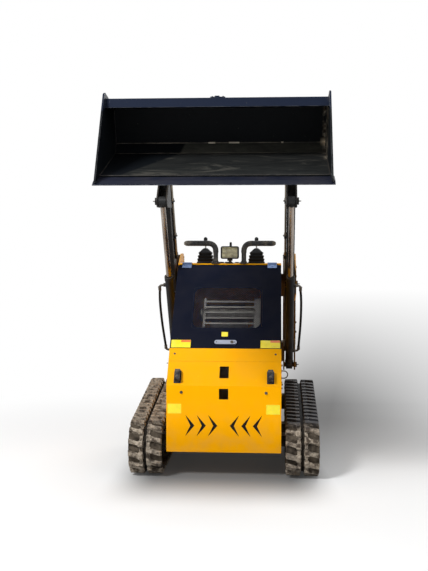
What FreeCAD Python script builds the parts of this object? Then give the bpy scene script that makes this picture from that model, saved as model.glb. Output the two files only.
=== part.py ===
import FreeCAD, Part
import math
import os

from FreeCAD import Vector

# A stand-on mini track loader with its boom raised and its bucket tipped forward.
# Millimetres. X points to the machine's left, Y to its rear, Z up, ground at Z = 0.
# Side views are drawn as (y, z) with y measured from the front of the tracks;
# ORIGIN_Y carries the frame's origin back to the middle of the machine's length.

ORIGIN_Y = 290

# Hull
BODY_HALF = 310
SHEET = 6
BELLY_Z = 143
NOSE_Y = 50
NOSE_BEND_Z = 503
HOOD_FOOT = (207, 689)
HOOD_HEAD = (671, 1149)
DECK_Z = HOOD_HEAD[1]
CONSOLE_BACK_Y = 962
SKIRT_DROP = 110
TAIL_STEP = 40
STRIP_Z = 623
PLATE = 5
SEAM = 0.8
TRAY_Z = 316

# Undercarriage
TRACK_CLEARANCE = 25
TRACK_WIDTH = 180
TRACK_INNER_X = BODY_HALF + TRACK_CLEARANCE
TRACK_MIDDLE_X = TRACK_INNER_X + TRACK_WIDTH / 2
FRONT_RADIUS = 154
REAR_RADIUS = 118
REAR_IDLER_Y = 835
SPROCKET_RADIUS = 140
SPROCKET_PLACE = (940, 276)
BELT_THICK = 20
LUG_HEIGHT = 22
LUG_COUNT = 44
LUG_FOOT = 30
LUG_CREST = 20
WHEEL_GAP = 0.3
WHEEL_WIDTH = 124
ROLLER_RADIUS = 44
ROLLER_PLACES = (330, 500, 670)
RAIL_WIDTH = 104
RAIL_Z = (112, 182)
FRAME_ARM_PLACES = (300, 640)
FRAME_ARM_LENGTH = 90
SPROCKET_TEETH = 10
TOOTH_DEPTH = 20
SPROCKET_WIDTH = 44
HUB_RADIUS = 50

# Nose plate cut-outs and stops
SQUARE_WIDTH = 50
SQUARE_HEIGHT = 58
SQUARE_MIDDLES = (569, 459)
CHEVRON_TIPS = (33, 95, 157)
CHEVRON_Z = 287
CHEVRON_HALF_HEIGHT = 57
CHEVRON_RUN = 49
CHEVRON_STROKE = 23
CHEVRON_END = 3
STOP_FOOT_Z = 519
STOP_HEAD_Z = 570
STOP_X = 252
STOP_WIDTH = 28
STOP_HEIGHT = 34

# Hood
HOOD_SKIN = 4
HOOD_GAP = 0.3
HOOD_FLANGE = 26
WINDOW_HALF = 200
WINDOW_FROM = 142
WINDOW_TO = 461
WINDOW_CORNER = 22
MESH_LAP = 14
MESH_THICK = 2
LATCH_FROM = 26
LATCH_TO = 55
LATCH_HALF = 62
LATCH_HEIGHT = 7
HINGE_X = 256
HINGE_HALF = 28
HINGE_LEAF = 3
KNUCKLE_R = 5

# Boom and its pins, as it stands with the bucket up
BOOM_PIVOT = (885, 1021)
KNEE = (421, 1696)
ARM_CLEARANCE = 7
ARM_WIDTH = 46
ARM_HALF_ROOT = 56
ARM_HALF_KNEE = 60
ARM_HALF_TIP = 44
ARM_WALL = 6
LUG_PLATE = 8
LIFT_ARM_PIN = (334, 1508)
LIFT_BASE_PIN = (1050, 496)
PIVOT_PIN_R = 20
PIN_R = 16
PIN_GAP = 0.1
CROSS_ALONG = 326
CROSS_BELOW = 12
CROSS_HALF = 28
LINE_R = 6
LINE_PLACES = (14, 36)
LINE_FROM = 190
LINE_TO = 150
CLIP_LENGTH = 24
TUBE_SIDES = 14

# Towers
TOWER_CLEARANCE = 17
TOWER_PLATE = 8
TOWER_INNER_X = BODY_HALF + TOWER_CLEARANCE
ARM_INNER_X = TOWER_INNER_X + TOWER_PLATE + ARM_CLEARANCE
ARM_OUTER_X = ARM_INNER_X + ARM_WIDTH
CHEEK_X = ARM_OUTER_X + ARM_CLEARANCE + 1
SPINE_FRONT_Y = 1100
SPINE_BACK_Y = 1170
TOWER_TOP_Z = 1208
PIN_HEAD = 10

# Cylinders
LIFT_X = ARM_INNER_X + ARM_WIDTH / 2
LIFT_EYE_HALF = ARM_WIDTH / 2 - 3
LIFT_BARREL_R = 24
LIFT_BARREL_LENGTH = 684
LIFT_ROD_R = 15
LIFT_ROD_LENGTH = 620
TILT_BARREL_R = 26
TILT_BARREL_LENGTH = 368
TILT_ROD_R = 14
TILT_ROD_LENGTH = 368
LIFT_EYE_R = 28
TILT_EYE_R = 26
TILT_BASE_ALONG = 125
TILT_BASE_ABOVE = 60
TILT_PIN_R = 14
TILT_LUG = 10
TILT_EYE_GAP = 5
TILT_BASE_EYE_HALF = 31
TILT_ROD_EYE_HALF = 20

# Lift hoses: each point is a place along the barrel and a distance out from its middle
HOSE_R = 7.5
HOSE_SIDES = 8
PORT_REACH = 8
PORT_ACROSS = 20
HOSE_RUN = ((640, 0), (640, 58), (450, 76), (270, 70), (118, 50), (118, 0))

# Bucket, drawn level with its tip at (0, 0), then tipped forward
BUCKET_TIP = (-813, 1532)
BUCKET_TIPPED = 19
BUCKET_HALF = 528
EDGE_HALF = BUCKET_HALF + 9
BUCKET_FLOOR = 540
BUCKET_HEEL = 45
BUCKET_BACK = 225
BUCKET_LIP = (357, 309)
BUCKET_EAR = (360, 333)
BUCKET_SHEET = 6
SIDE_SHEET = 8
EDGE_THICK = 12
EDGE_DEPTH = 108
MOUNT_PAD = 15
PAD_FROM = 60
PAD_TO = 400
PIVOT_IN_BUCKET = (670, 100)
TILT_IN_BUCKET = (632, 220)
EAR_THICK = 10
EAR_GAP = 5
ATTACH_THICK = 12
ATTACH_HALF = 400
TILT_GAP = 24

# Operator's end
PLATFORM_TOP_Z = 251
PLATFORM_BACK_Y = 1395
PLATFORM_HALF = BODY_HALF - 20
PLATFORM_RIM = 30
PLATFORM_DEPTH = 50
CONTROLS_Y = 840
GRIP_Y = 692
GRIP_FOOT_X = 85
GRIP_END_X = 278
GRIP_RISE = 123
GRIP_R = 16
GRIP_BEND = 45
STICK_X = 158
STICK_RISE = 163
KNOB_R = 10
KNOB_HEIGHT = 26
BOOT_PLEATS = ((52, 8), (44, 14), (50, 26), (40, 34), (47, 46), (36, 55), (43, 66), (27, 82), (20, 94))
LAMP_HALF = 56
LAMP_DEPTH = 50
LAMP_Z = (29, 106)


def at(side_point, x=0.0):
    """A point of the side view placed at x."""
    return Vector(x, side_point[0], side_point[1])


def closed_wire(corners):
    """A closed outline through (y, z) or (y, z, radius) corners, the last kind rounded."""
    places = [at(c) for c in corners]
    count = len(corners)
    stretches = []
    for i, corner in enumerate(corners):
        here = places[i]
        back = (places[i - 1] - here).normalize()
        ahead = (places[(i + 1) % count] - here).normalize()
        radius = corner[2] if len(corner) > 2 else 0
        if radius:
            half = back.getAngle(ahead) / 2
            reach = radius / math.tan(half)
            inset = radius / math.sin(half) - radius
            middle = here + (back + ahead).normalize() * inset
            stretches.append((here + back * reach, middle, here + ahead * reach))
        else:
            stretches.append((here, None, here))
    edges = []
    for i, (start, middle, end) in enumerate(stretches):
        if middle:
            edges.append(Part.Arc(start, middle, end).toShape())
        onward = stretches[(i + 1) % count][0]
        if (onward - end).Length > 1e-6:
            edges.append(Part.LineSegment(end, onward).toShape())
    return Part.Wire(edges)


def prism(corners, x0, x1):
    """A side-view outline drawn out from x0 to x1."""
    face = Part.Face(closed_wire(corners))
    face.translate(Vector(x0, 0, 0))
    return face.extrude(Vector(x1 - x0, 0, 0))


def turning(circles):
    """Twice the signed area inside the circles' centres, positive when they run anticlockwise."""
    pairs = zip(circles, circles[1:] + circles[:1])
    return sum(a[0] * b[1] - b[0] * a[1] for a, b in pairs)


def belt_edges(circles):
    """The arcs and tangents of a belt run anticlockwise round (y, z, radius) circles or points."""
    if turning(circles) < 0:
        circles = circles[::-1]
    count = len(circles)
    tangents = []
    for i, (y, z, radius) in enumerate(circles):
        ny, nz, next_radius = circles[(i + 1) % count]
        run = Vector(0, ny - y, nz - z)
        distance = run.Length
        run.normalize()
        outward = Vector(0, run.z, -run.y)
        lean = (radius - next_radius) / distance
        normal = outward * math.sqrt(1 - lean * lean) + run * lean
        tangents.append((at((y, z)) + normal * radius, at((ny, nz)) + normal * next_radius, normal))
    edges = []
    for i, (y, z, radius) in enumerate(circles):
        leaving = tangents[i]
        arriving = tangents[i - 1]
        start = math.atan2(arriving[2].z, arriving[2].y)
        end = math.atan2(leaving[2].z, leaving[2].y)
        if end < start:
            end += 2 * math.pi
        middle = (start + end) / 2
        top = Vector(0, y + radius * math.cos(middle), z + radius * math.sin(middle))
        if radius:
            edges.append(Part.Arc(arriving[1], top, leaving[0]).toShape())
        edges.append(Part.LineSegment(leaving[0], leaving[1]).toShape())
    return edges


def hull_plate(circles, x0, x1):
    """A plate whose outline is a belt round the circles."""
    face = Part.Face(Part.Wire(belt_edges(circles)))
    face.translate(Vector(x0, 0, 0))
    return face.extrude(Vector(x1 - x0, 0, 0))


def shaft(side_point, radius, x0, x1):
    """A cylinder across the machine."""
    return Part.makeCylinder(radius, x1 - x0, at(side_point, x0), Vector(1, 0, 0))


def hex_head(side_point, across, x0, x1):
    """A hexagonal head or fitting on an axis across the machine."""
    corners = []
    for i in range(6):
        turn = math.radians(60 * i)
        reach = across / math.sqrt(3)
        corners.append((side_point[0] + reach * math.cos(turn), side_point[1] + reach * math.sin(turn)))
    return prism(corners, x0, x1)


def box(x0, x1, y0, y1, z0, z1):
    return Part.makeBox(x1 - x0, y1 - y0, z1 - z0, Vector(x0, y0, z0))


def plate_with_eye(foot_a, foot_b, eye, radius, x0, x1):
    """A plate from a straight foot to a round end about a pin."""
    return hull_plate([foot_a + (0,), foot_b + (0,), eye + (radius,)], x0, x1)


def joined(shapes):
    return shapes[0].fuse(shapes[1:]).removeSplitter()


def mirrored(shape):
    """The same piece on the machine's right."""
    return shape.mirror(Vector(0, 0, 0), Vector(1, 0, 0))


def step(point, direction, length, normal=(0, 0), offset=0.0):
    """A side-view point moved along a direction and across it."""
    return (
        point[0] + direction[0] * length + normal[0] * offset,
        point[1] + direction[1] * length + normal[1] * offset,
    )


def heading(start, end):
    """The unit direction from start to end and the length between them."""
    y, z = end[0] - start[0], end[1] - start[1]
    length = math.hypot(y, z)
    return (y / length, z / length), length


def crossing(point_a, way_a, point_b, way_b):
    """Where two side-view lines meet."""
    turn = way_a[0] * way_b[1] - way_a[1] * way_b[0]
    y, z = point_b[0] - point_a[0], point_b[1] - point_a[1]
    return step(point_a, way_a, (y * way_b[1] - z * way_b[0]) / turn)


def in_bucket(a, b):
    """A point of the level bucket, a behind its tip and b above its floor, as it stands."""
    turn = math.radians(BUCKET_TIPPED)
    y = BUCKET_TIP[0] + a * math.cos(turn) - b * math.sin(turn)
    z = BUCKET_TIP[1] + a * math.sin(turn) + b * math.cos(turn)
    return (y, z)


BUCKET_PIVOT = in_bucket(*PIVOT_IN_BUCKET)
TILT_ROD_PIN = in_bucket(*TILT_IN_BUCKET)
REAR_WAY, REAR_LENGTH = heading(BOOM_PIVOT, KNEE)
FRONT_WAY, FRONT_LENGTH = heading(KNEE, BUCKET_PIVOT)
REAR_TOP = (REAR_WAY[1], -REAR_WAY[0])
FRONT_TOP = (FRONT_WAY[1], -FRONT_WAY[0])
HOOD_WAY, HOOD_LENGTH = heading(HOOD_FOOT, HOOD_HEAD)
HOOD_OUT = (-HOOD_WAY[1], HOOD_WAY[0])
HINGE_AXIS = step(HOOD_HEAD, HOOD_OUT, KNUCKLE_R)
TILT_BASE_PIN = step(KNEE, FRONT_WAY, TILT_BASE_ALONG, FRONT_TOP, TILT_BASE_ABOVE)
CROSS_TUBE = step(KNEE, FRONT_WAY, CROSS_ALONG, FRONT_TOP, -CROSS_BELOW)


# Undercarriage


def shrunk(circles, by):
    return [(y, z, radius - by) for y, z, radius in circles]


FRONT_IDLER = (FRONT_RADIUS, FRONT_RADIUS, FRONT_RADIUS)
REAR_IDLER = (REAR_IDLER_Y, REAR_RADIUS, REAR_RADIUS)
SPROCKET = SPROCKET_PLACE + (SPROCKET_RADIUS,)
TRACK_CIRCLES = [FRONT_IDLER, REAR_IDLER, SPROCKET]


def stations(edges, count):
    """Evenly spaced places along a belt, each with its direction and outward normal."""
    whole = sum(e.Length for e in edges)
    found = []
    for i in range(count):
        along = i * whole / count
        for edge in edges:
            if along <= edge.Length:
                break
            along -= edge.Length
        place = edge.getParameterByLength(along)
        way = edge.tangentAt(place)
        found.append((edge.valueAt(place), way, Vector(0, way.z, -way.y)))
    return found


def track():
    """The rubber belt with its tread bars in its outline."""
    face_circles = shrunk(TRACK_CIRCLES, LUG_HEIGHT)
    corners = []
    for point, way, out in stations(belt_edges(face_circles), LUG_COUNT):
        corners += [
            point - way * (LUG_FOOT / 2),
            point - way * (LUG_CREST / 2) + out * LUG_HEIGHT,
            point + way * (LUG_CREST / 2) + out * LUG_HEIGHT,
            point + way * (LUG_FOOT / 2),
        ]
    outline = Part.Face(Part.makePolygon(corners + corners[:1]))
    outline.translate(Vector(TRACK_INNER_X, 0, 0))
    loop = outline.extrude(Vector(TRACK_WIDTH, 0, 0))
    inside = shrunk(face_circles, BELT_THICK)
    return loop.cut(hull_plate(inside, TRACK_INNER_X - 1, TRACK_INNER_X + TRACK_WIDTH + 1))


def wheel_radius(circle):
    return circle[2] - LUG_HEIGHT - BELT_THICK - WHEEL_GAP


def track_frame():
    """The beam inside the belt with its idlers and road rollers, and its two arms to the hull."""
    wheel0, wheel1 = TRACK_MIDDLE_X - WHEEL_WIDTH / 2, TRACK_MIDDLE_X + WHEEL_WIDTH / 2
    rail0, rail1 = TRACK_MIDDLE_X - RAIL_WIDTH / 2, TRACK_MIDDLE_X + RAIL_WIDTH / 2
    low, high = RAIL_Z
    back = REAR_IDLER_Y - 5
    beam = [(FRONT_RADIUS, low), (back, low), (back, high), (FRONT_RADIUS + 90, high), (FRONT_RADIUS, high - 8)]
    pieces = [prism(beam, rail0, rail1)]
    for circle in (FRONT_IDLER, REAR_IDLER):
        pieces.append(shaft(circle[:2], wheel_radius(circle), wheel0, wheel1))
    roller_z = LUG_HEIGHT + BELT_THICK + WHEEL_GAP + ROLLER_RADIUS
    for y in ROLLER_PLACES:
        pieces.append(shaft((y, roller_z), ROLLER_RADIUS, rail0, rail1))
    for y in FRAME_ARM_PLACES:
        pieces.append(box(BODY_HALF, TRACK_MIDDLE_X, y, y + FRAME_ARM_LENGTH, low + 13, high + 5))
    return joined(pieces)


def sprocket():
    """The toothed drive wheel and its hub motor on the hull's side."""
    tip = wheel_radius(SPROCKET)
    root = tip - TOOTH_DEPTH
    corners = []
    for i in range(SPROCKET_TEETH):
        for share, radius in ((-0.4, root), (-0.15, tip), (0.15, tip), (0.4, root)):
            turn = 2 * math.pi * (i + share) / SPROCKET_TEETH
            corners.append((SPROCKET[0] + radius * math.cos(turn), SPROCKET[1] + radius * math.sin(turn)))
    half = SPROCKET_WIDTH / 2
    wheel = prism(corners, TRACK_MIDDLE_X - half, TRACK_MIDDLE_X + half)
    hub = shaft(SPROCKET_PLACE, HUB_RADIUS, BODY_HALF, TRACK_MIDDLE_X + half + 18)
    return joined([wheel, hub])


# Body shell


LEAN_WAY, LEAN_LENGTH = heading((NOSE_Y, NOSE_BEND_Z), HOOD_FOOT)
LEAN_OUT = (-LEAN_WAY[1], LEAN_WAY[0])
UP = (0, 1)
REARWARD = (1, 0)


def nose_bend_inside():
    """The inner corner of the nose plate's bend."""
    return crossing((NOSE_Y + PLATE, 0), UP, step((NOSE_Y, NOSE_BEND_Z), LEAN_OUT, -PLATE), LEAN_WAY)


def hull_side():
    """The outline of the hull's side plates, inside the nose plate and under the hood."""
    deck_under = DECK_Z - SHEET
    under_hood = step(HOOD_FOOT, HOOD_OUT, -HOOD_SKIN - HOOD_GAP)
    foot = crossing(nose_bend_inside(), LEAN_WAY, under_hood, HOOD_WAY)
    head = crossing((0, deck_under), REARWARD, under_hood, HOOD_WAY)
    tail_y = CONSOLE_BACK_Y + TAIL_STEP
    return [
        (NOSE_Y + PLATE, BELLY_Z),
        nose_bend_inside(),
        foot,
        head,
        (CONSOLE_BACK_Y, deck_under),
        (CONSOLE_BACK_Y, 716),
        (tail_y, 600),
        (tail_y, BELLY_Z, 40),
    ]


def chassis_tub():
    """The welded hull: two side plates, a belly, an engine tray and cross members."""
    outline = hull_side()
    pieces = [prism(outline, x, x + SHEET) for x in (-BODY_HALF, BODY_HALF - SHEET)]
    inner = BODY_HALF - SHEET
    belly_end, tray_start, tray_end = CONSOLE_BACK_Y - 10, 240, CONSOLE_BACK_Y - 40
    pieces.append(box(-inner, inner, NOSE_Y + PLATE, belly_end, BELLY_Z, BELLY_Z + SHEET))
    pieces.append(box(-inner, inner, tray_start, tray_end, TRAY_Z - SHEET, TRAY_Z))
    for y in (tray_start, 640):
        pieces.append(box(-inner, inner, y, y + SHEET, BELLY_Z, TRAY_Z))
    pieces.append(box(-inner, inner, 760, 800, DECK_Z - 93, DECK_Z - 53))
    return joined(pieces)


def lean_point(z):
    """Where the leaning part of the nose lies at height z."""
    share = (z - NOSE_BEND_Z) / (HOOD_FOOT[1] - NOSE_BEND_Z)
    return (NOSE_Y + share * (HOOD_FOOT[0] - NOSE_Y), z)


def chevron(tip_x, point_to):
    """An arrow-shaped cut that thins toward its ends, its tip at tip_x and pointing to +X or -X."""
    tail = tip_x - CHEVRON_RUN * point_to
    notch = tip_x - CHEVRON_STROKE * point_to
    high, low = CHEVRON_Z + CHEVRON_HALF_HEIGHT, CHEVRON_Z - CHEVRON_HALF_HEIGHT
    corners = [
        (tip_x, CHEVRON_Z),
        (tail, high),
        (tail, high - CHEVRON_END),
        (notch, CHEVRON_Z),
        (tail, low + CHEVRON_END),
        (tail, low),
    ]
    points = [Vector(x, NOSE_Y - 5, z) for x, z in corners]
    return Part.Face(Part.makePolygon(points + points[:1])).extrude(Vector(0, PLATE + 10, 0))


def front_plate():
    """The bent nose plate with two square windows and six arrow-shaped cuts."""
    top = lean_point(STRIP_Z)
    plate = prism(
        [
            (NOSE_Y, BELLY_Z),
            (NOSE_Y, NOSE_BEND_Z),
            top,
            step(top, LEAN_OUT, -PLATE),
            nose_bend_inside(),
            (NOSE_Y + PLATE, BELLY_Z),
        ],
        -BODY_HALF,
        BODY_HALF,
    )
    cuts = []
    for z in SQUARE_MIDDLES:
        half_x, half_z = SQUARE_WIDTH / 2, SQUARE_HEIGHT / 2
        cuts.append(box(-half_x, half_x, NOSE_Y - 10, 200, z - half_z, z + half_z))
    for tip in CHEVRON_TIPS:
        cuts.append(chevron(-tip, 1))
        cuts.append(chevron(tip, -1))
    return plate.cut(cuts)


def front_strip():
    """The screwed strip between the nose plate and the hood."""
    foot = step(lean_point(STRIP_Z), LEAN_WAY, SEAM)
    head = step(HOOD_FOOT, LEAN_WAY, -SEAM)
    return prism(
        [foot, head, step(head, LEAN_OUT, -PLATE), step(foot, LEAN_OUT, -PLATE)],
        -BODY_HALF,
        BODY_HALF,
    )


def front_stop():
    """A bolted block on the leaning part of the nose."""
    foot = lean_point(STOP_FOOT_Z)
    head = lean_point(STOP_HEAD_Z)
    return prism(
        [foot, head, step(head, LEAN_OUT, STOP_HEIGHT - 4), step(foot, LEAN_OUT, STOP_HEIGHT + 4)],
        STOP_X - STOP_WIDTH / 2,
        STOP_X + STOP_WIDTH / 2,
    )


def console():
    """The control deck with its turned-down rear edge and the hood hinges' fixed leaves."""
    back = CONSOLE_BACK_Y + SHEET
    deck = box(-BODY_HALF, BODY_HALF, HOOD_HEAD[0] + 4, back, DECK_Z - SHEET, DECK_Z)
    skirt = box(-BODY_HALF, BODY_HALF, CONSOLE_BACK_Y, back, DECK_Z - SKIRT_DROP, DECK_Z)
    leaf_y = HINGE_AXIS[0] + KNUCKLE_R + HOOD_GAP
    leaves = []
    for x in (-HINGE_X, HINGE_X):
        leaves.append(box(x - HINGE_HALF, x + HINGE_HALF, leaf_y, leaf_y + 32, DECK_Z, DECK_Z + HINGE_LEAF))
    return joined([deck, skirt] + leaves)


def rear_panel():
    """The upright closing plate behind the engine, facing the operator."""
    inner = BODY_HALF - SHEET
    return box(-inner, inner, CONSOLE_BACK_Y - SHEET, CONSOLE_BACK_Y, TRAY_Z, DECK_Z - SHEET - 2)


def engine_block():
    return box(-180, 180, 470, 800, TRAY_Z, TRAY_Z + 584)


# Towers


def tower():
    """A welded upright: inner plate, outer cheeks, rear spine and the pins it carries."""
    inner0, inner1 = TOWER_INNER_X, TOWER_INNER_X + TOWER_PLATE
    outer0, outer1 = CHEEK_X, CHEEK_X + TOWER_PLATE
    pivot_y, pivot_z = BOOM_PIVOT
    base_y, base_z = LIFT_BASE_PIN
    foot_z = base_z - 34
    head = [
        (SPINE_BACK_Y, TOWER_TOP_Z, 30),
        (pivot_y + 149, TOWER_TOP_Z, 30),
        (pivot_y - 62, pivot_z + 75, 60),
        (pivot_y - 62, pivot_z - 62, 50),
    ]
    inner_plate = prism(
        [(base_y - 48, foot_z, 30), (base_y + 50, foot_z), (SPINE_BACK_Y, base_z + 80)]
        + head
        + [(base_y + 20, pivot_z - 130), (base_y + 20, base_z + 160), (base_y - 48, base_z + 120)],
        inner0,
        inner1,
    )
    upper_cheek = prism(
        [(SPINE_BACK_Y, pivot_z - 116)] + head + [(base_y + 10, pivot_z - 116)], outer0, outer1
    )
    lower_cheek = prism(
        [
            (base_y - 40, foot_z, 30),
            (base_y + 50, foot_z),
            (SPINE_BACK_Y, base_z + 80),
            (SPINE_BACK_Y, base_z + 160),
            (base_y + 20, base_z + 160),
            (base_y - 40, base_z + 80),
        ],
        outer0,
        outer1,
    )
    spine = box(inner0, outer1, SPINE_FRONT_Y, SPINE_BACK_Y - 2, base_z + 80, TOWER_TOP_Z - 8)
    upper_boss = box(BODY_HALF, inner0, pivot_y - 55, pivot_y + 65, pivot_z - 75, pivot_z + 61)
    lower_boss = box(BODY_HALF, inner0, CONSOLE_BACK_Y, base_y + 50, base_z + 33, base_z + 150)
    pins = [
        shaft(BOOM_PIVOT, PIVOT_PIN_R, inner0, outer1),
        shaft(LIFT_BASE_PIN, PIN_R, inner0, outer1),
        hex_head(BOOM_PIVOT, 2 * PIVOT_PIN_R, outer1, outer1 + PIN_HEAD),
        hex_head(LIFT_BASE_PIN, 2 * PIN_R, outer1, outer1 + PIN_HEAD),
    ]
    return joined([inner_plate, upper_cheek, lower_cheek, spine, upper_boss, lower_boss] + pins)


# Boom


def arm_band(half_root, half_knee, half_tip, start, end, x0, x1):
    """The dog-legged outline of an arm between two distances from its pins."""
    bend = math.atan2(REAR_WAY[1], REAR_WAY[0]) - math.atan2(FRONT_WAY[1], FRONT_WAY[0])
    knee_top = ((REAR_TOP[0] + FRONT_TOP[0]) / 2, (REAR_TOP[1] + FRONT_TOP[1]) / 2)
    reach = half_knee / math.cos(bend / 2) ** 2
    root = step(BOOM_PIVOT, REAR_WAY, start)
    tip = step(BUCKET_PIVOT, FRONT_WAY, -end)
    return prism(
        [
            step(root, REAR_TOP, half_root),
            step(KNEE, knee_top, reach) + (90,),
            step(tip, FRONT_TOP, half_tip),
            step(tip, FRONT_TOP, -half_tip),
            step(KNEE, knee_top, -reach) + (40,),
            step(root, REAR_TOP, -half_root),
        ],
        x0,
        x1,
    )


def boom_arm():
    """A box-section arm with its pin bores and the two plates that hold the lift cylinder's rod."""
    x0, x1 = ARM_INNER_X, ARM_OUTER_X
    skin = arm_band(ARM_HALF_ROOT, ARM_HALF_KNEE, ARM_HALF_TIP, 0, 0, x0, x1)
    rounds = [shaft(BOOM_PIVOT, ARM_HALF_ROOT, x0, x1), shaft(BUCKET_PIVOT, ARM_HALF_TIP, x0, x1)]
    to_pin = (LIFT_ARM_PIN[0] - BOOM_PIVOT[0], LIFT_ARM_PIN[1] - BOOM_PIVOT[1])
    along_lug = to_pin[0] * REAR_WAY[0] + to_pin[1] * REAR_WAY[1]
    under = -ARM_HALF_ROOT + 30
    low = step(BOOM_PIVOT, REAR_WAY, along_lug - 140, REAR_TOP, under)
    high = step(BOOM_PIVOT, REAR_WAY, along_lug + 70, REAR_TOP, under)
    lugs = [
        plate_with_eye(high, low, LIFT_ARM_PIN, 34, x0 - LUG_PLATE, x0),
        plate_with_eye(high, low, LIFT_ARM_PIN, 34, x1, x1 + LUG_PLATE),
    ]
    heads = [hex_head(LIFT_ARM_PIN, 2 * PIN_R + 8, x1 + LUG_PLATE, x1 + LUG_PLATE + PIN_HEAD)]
    arm = joined([skin] + rounds + lugs + heads)
    halves = [half - ARM_WALL for half in (ARM_HALF_ROOT, ARM_HALF_KNEE, ARM_HALF_TIP)]
    hollow = arm_band(*halves, 70, 60, x0 + ARM_WALL, x1 - ARM_WALL)
    slot = [
        step(BOOM_PIVOT, REAR_WAY, 230, REAR_TOP, -20),
        step(BOOM_PIVOT, REAR_WAY, 350, REAR_TOP, -20),
        step(BOOM_PIVOT, REAR_WAY, 330, REAR_TOP, 20),
        step(BOOM_PIVOT, REAR_WAY, 250, REAR_TOP, 20),
    ]
    bores = [
        shaft(BOOM_PIVOT, PIVOT_PIN_R + PIN_GAP, x0 - 1, x1 + 1),
        shaft(BUCKET_PIVOT, PIN_R + PIN_GAP, x0 - 1, x1 + 1),
    ]
    return arm.cut([hollow, prism(slot, x0 - 1, x0 + ARM_WALL + 1)] + bores)


def boom_cross_tube():
    """The square tube between the arms with the two lugs and the pin of the tilt cylinder."""
    corners = []
    for way, up in ((-1, -1), (1, -1), (1, 1), (-1, 1)):
        corners.append(step(CROSS_TUBE, FRONT_WAY, way * CROSS_HALF, FRONT_TOP, up * CROSS_HALF))
    pieces = [prism(corners, -ARM_INNER_X, ARM_INNER_X)]
    inside = TILT_BASE_EYE_HALF + TILT_EYE_GAP
    for x in (-inside - TILT_LUG, inside):
        pieces.append(plate_with_eye(corners[0], corners[2], TILT_BASE_PIN, 26, x, x + TILT_LUG))
    pieces.append(shaft(TILT_BASE_PIN, TILT_PIN_R, -inside - TILT_LUG, inside + TILT_LUG))
    return joined(pieces)


def bend_steps(before, corner, after, bend, count):
    """The corners of a bend made in count mitred steps round an arc of radius bend."""
    back = (before - corner).normalize()
    ahead = (after - corner).normalize()
    turn = math.pi - back.getAngle(ahead)
    reach = bend * math.tan(turn / 2)
    middle = corner + (back + ahead).normalize() * (bend / math.cos(turn / 2))
    axis = ahead.cross(back)
    found = []
    for i in range(count):
        spoke = corner + back * reach - middle
        share = (i + 0.5) / count
        spoke = FreeCAD.Rotation(axis, math.degrees(turn) * share).multVec(spoke)
        found.append(middle + spoke * (1 / math.cos(turn / count / 2)))
    return found


def many_sided(centre, axis_a, axis_b, radius, sides):
    """A regular outline round a point, in the plane of two square axes."""
    corners = []
    for i in range(sides):
        turn = 2 * math.pi * i / sides
        corners.append(centre + axis_a * (radius * math.cos(turn)) + axis_b * (radius * math.sin(turn)))
    return Part.makePolygon(corners + corners[:1])


def mitred_tube(points, radius):
    """A many-sided bar along straight runs with mitred corners."""
    way = (points[1] - points[0]).normalize()
    across = (points[-1] - points[0]).cross(way).normalize()
    sweep = Part.BRepOffsetAPI.MakePipeShell(Part.makePolygon(points))
    sweep.add(many_sided(points[0], across, across.cross(way), radius, TUBE_SIDES))
    sweep.setTransitionMode(1)
    sweep.build()
    sweep.makeSolid()
    return sweep.shape()


def boom_lines():
    """Two steel oil tubes between the clamp blocks on the inner face of the arm."""
    centre_x = ARM_INNER_X - LINE_R - 2
    pieces = []
    for offset in LINE_PLACES:
        first = at(step(BOOM_PIVOT, REAR_WAY, LINE_FROM, REAR_TOP, offset), centre_x)
        corner = at(step(KNEE, REAR_WAY, -offset * 0.4, REAR_TOP, offset), centre_x)
        last = at(step(KNEE, FRONT_WAY, LINE_TO, FRONT_TOP, offset), centre_x)
        pieces.append(mitred_tube([first] + bend_steps(first, corner, last, 60, 2) + [last], LINE_R))
    low, high = LINE_PLACES[0] - LINE_R - 4, LINE_PLACES[1] + LINE_R + 4
    for origin, way, top, along in (
        (BOOM_PIVOT, REAR_WAY, REAR_TOP, LINE_FROM - 5),
        (KNEE, FRONT_WAY, FRONT_TOP, LINE_TO - CLIP_LENGTH + 5),
    ):
        foot, head = step(origin, way, along, top, low), step(origin, way, along, top, high)
        corners = [foot, step(foot, way, CLIP_LENGTH), step(head, way, CLIP_LENGTH), head]
        pieces.append(prism(corners, centre_x - LINE_R - 2, ARM_INNER_X))
    return joined(pieces)


# Cylinders


def cylinder_barrel(start, end, x, outer, rod_r, length, eye_half, eye_r, pin_r):
    """A barrel with its base eye on the start pin and the bore for its rod."""
    way = (at(end) - at(start)).normalize()
    base = at(start, x)
    tube = Part.makeCylinder(outer, length - eye_r * 0.6, base + way * eye_r * 0.6, way)
    eye = shaft(start, eye_r, x - eye_half, x + eye_half)
    bore = Part.makeCylinder(rod_r + WHEEL_GAP, length, base + way * (eye_r + 8), way)
    pin_hole = shaft(start, pin_r + PIN_GAP, x - eye_half - outer, x + eye_half + outer)
    return joined([tube, eye]).cut([bore, pin_hole])


def cylinder_rod(start, end, x, rod_r, length, eye_half, eye_r):
    """A rod with its eye, which holds its pin, on the end pin's axis."""
    way = (at(start) - at(end)).normalize()
    rod = Part.makeCylinder(rod_r, length, at(end, x), way)
    return joined([rod, shaft(end, eye_r, x - eye_half, x + eye_half)])


LIFT = dict(start=LIFT_BASE_PIN, end=LIFT_ARM_PIN, x=LIFT_X, rod_r=LIFT_ROD_R, eye_r=LIFT_EYE_R)
TILT = dict(start=TILT_BASE_PIN, end=TILT_ROD_PIN, x=0, rod_r=TILT_ROD_R, eye_r=TILT_EYE_R)


def tilt_barrel():
    return cylinder_barrel(
        outer=TILT_BARREL_R, length=TILT_BARREL_LENGTH, eye_half=TILT_BASE_EYE_HALF, pin_r=TILT_PIN_R, **TILT
    )


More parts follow.
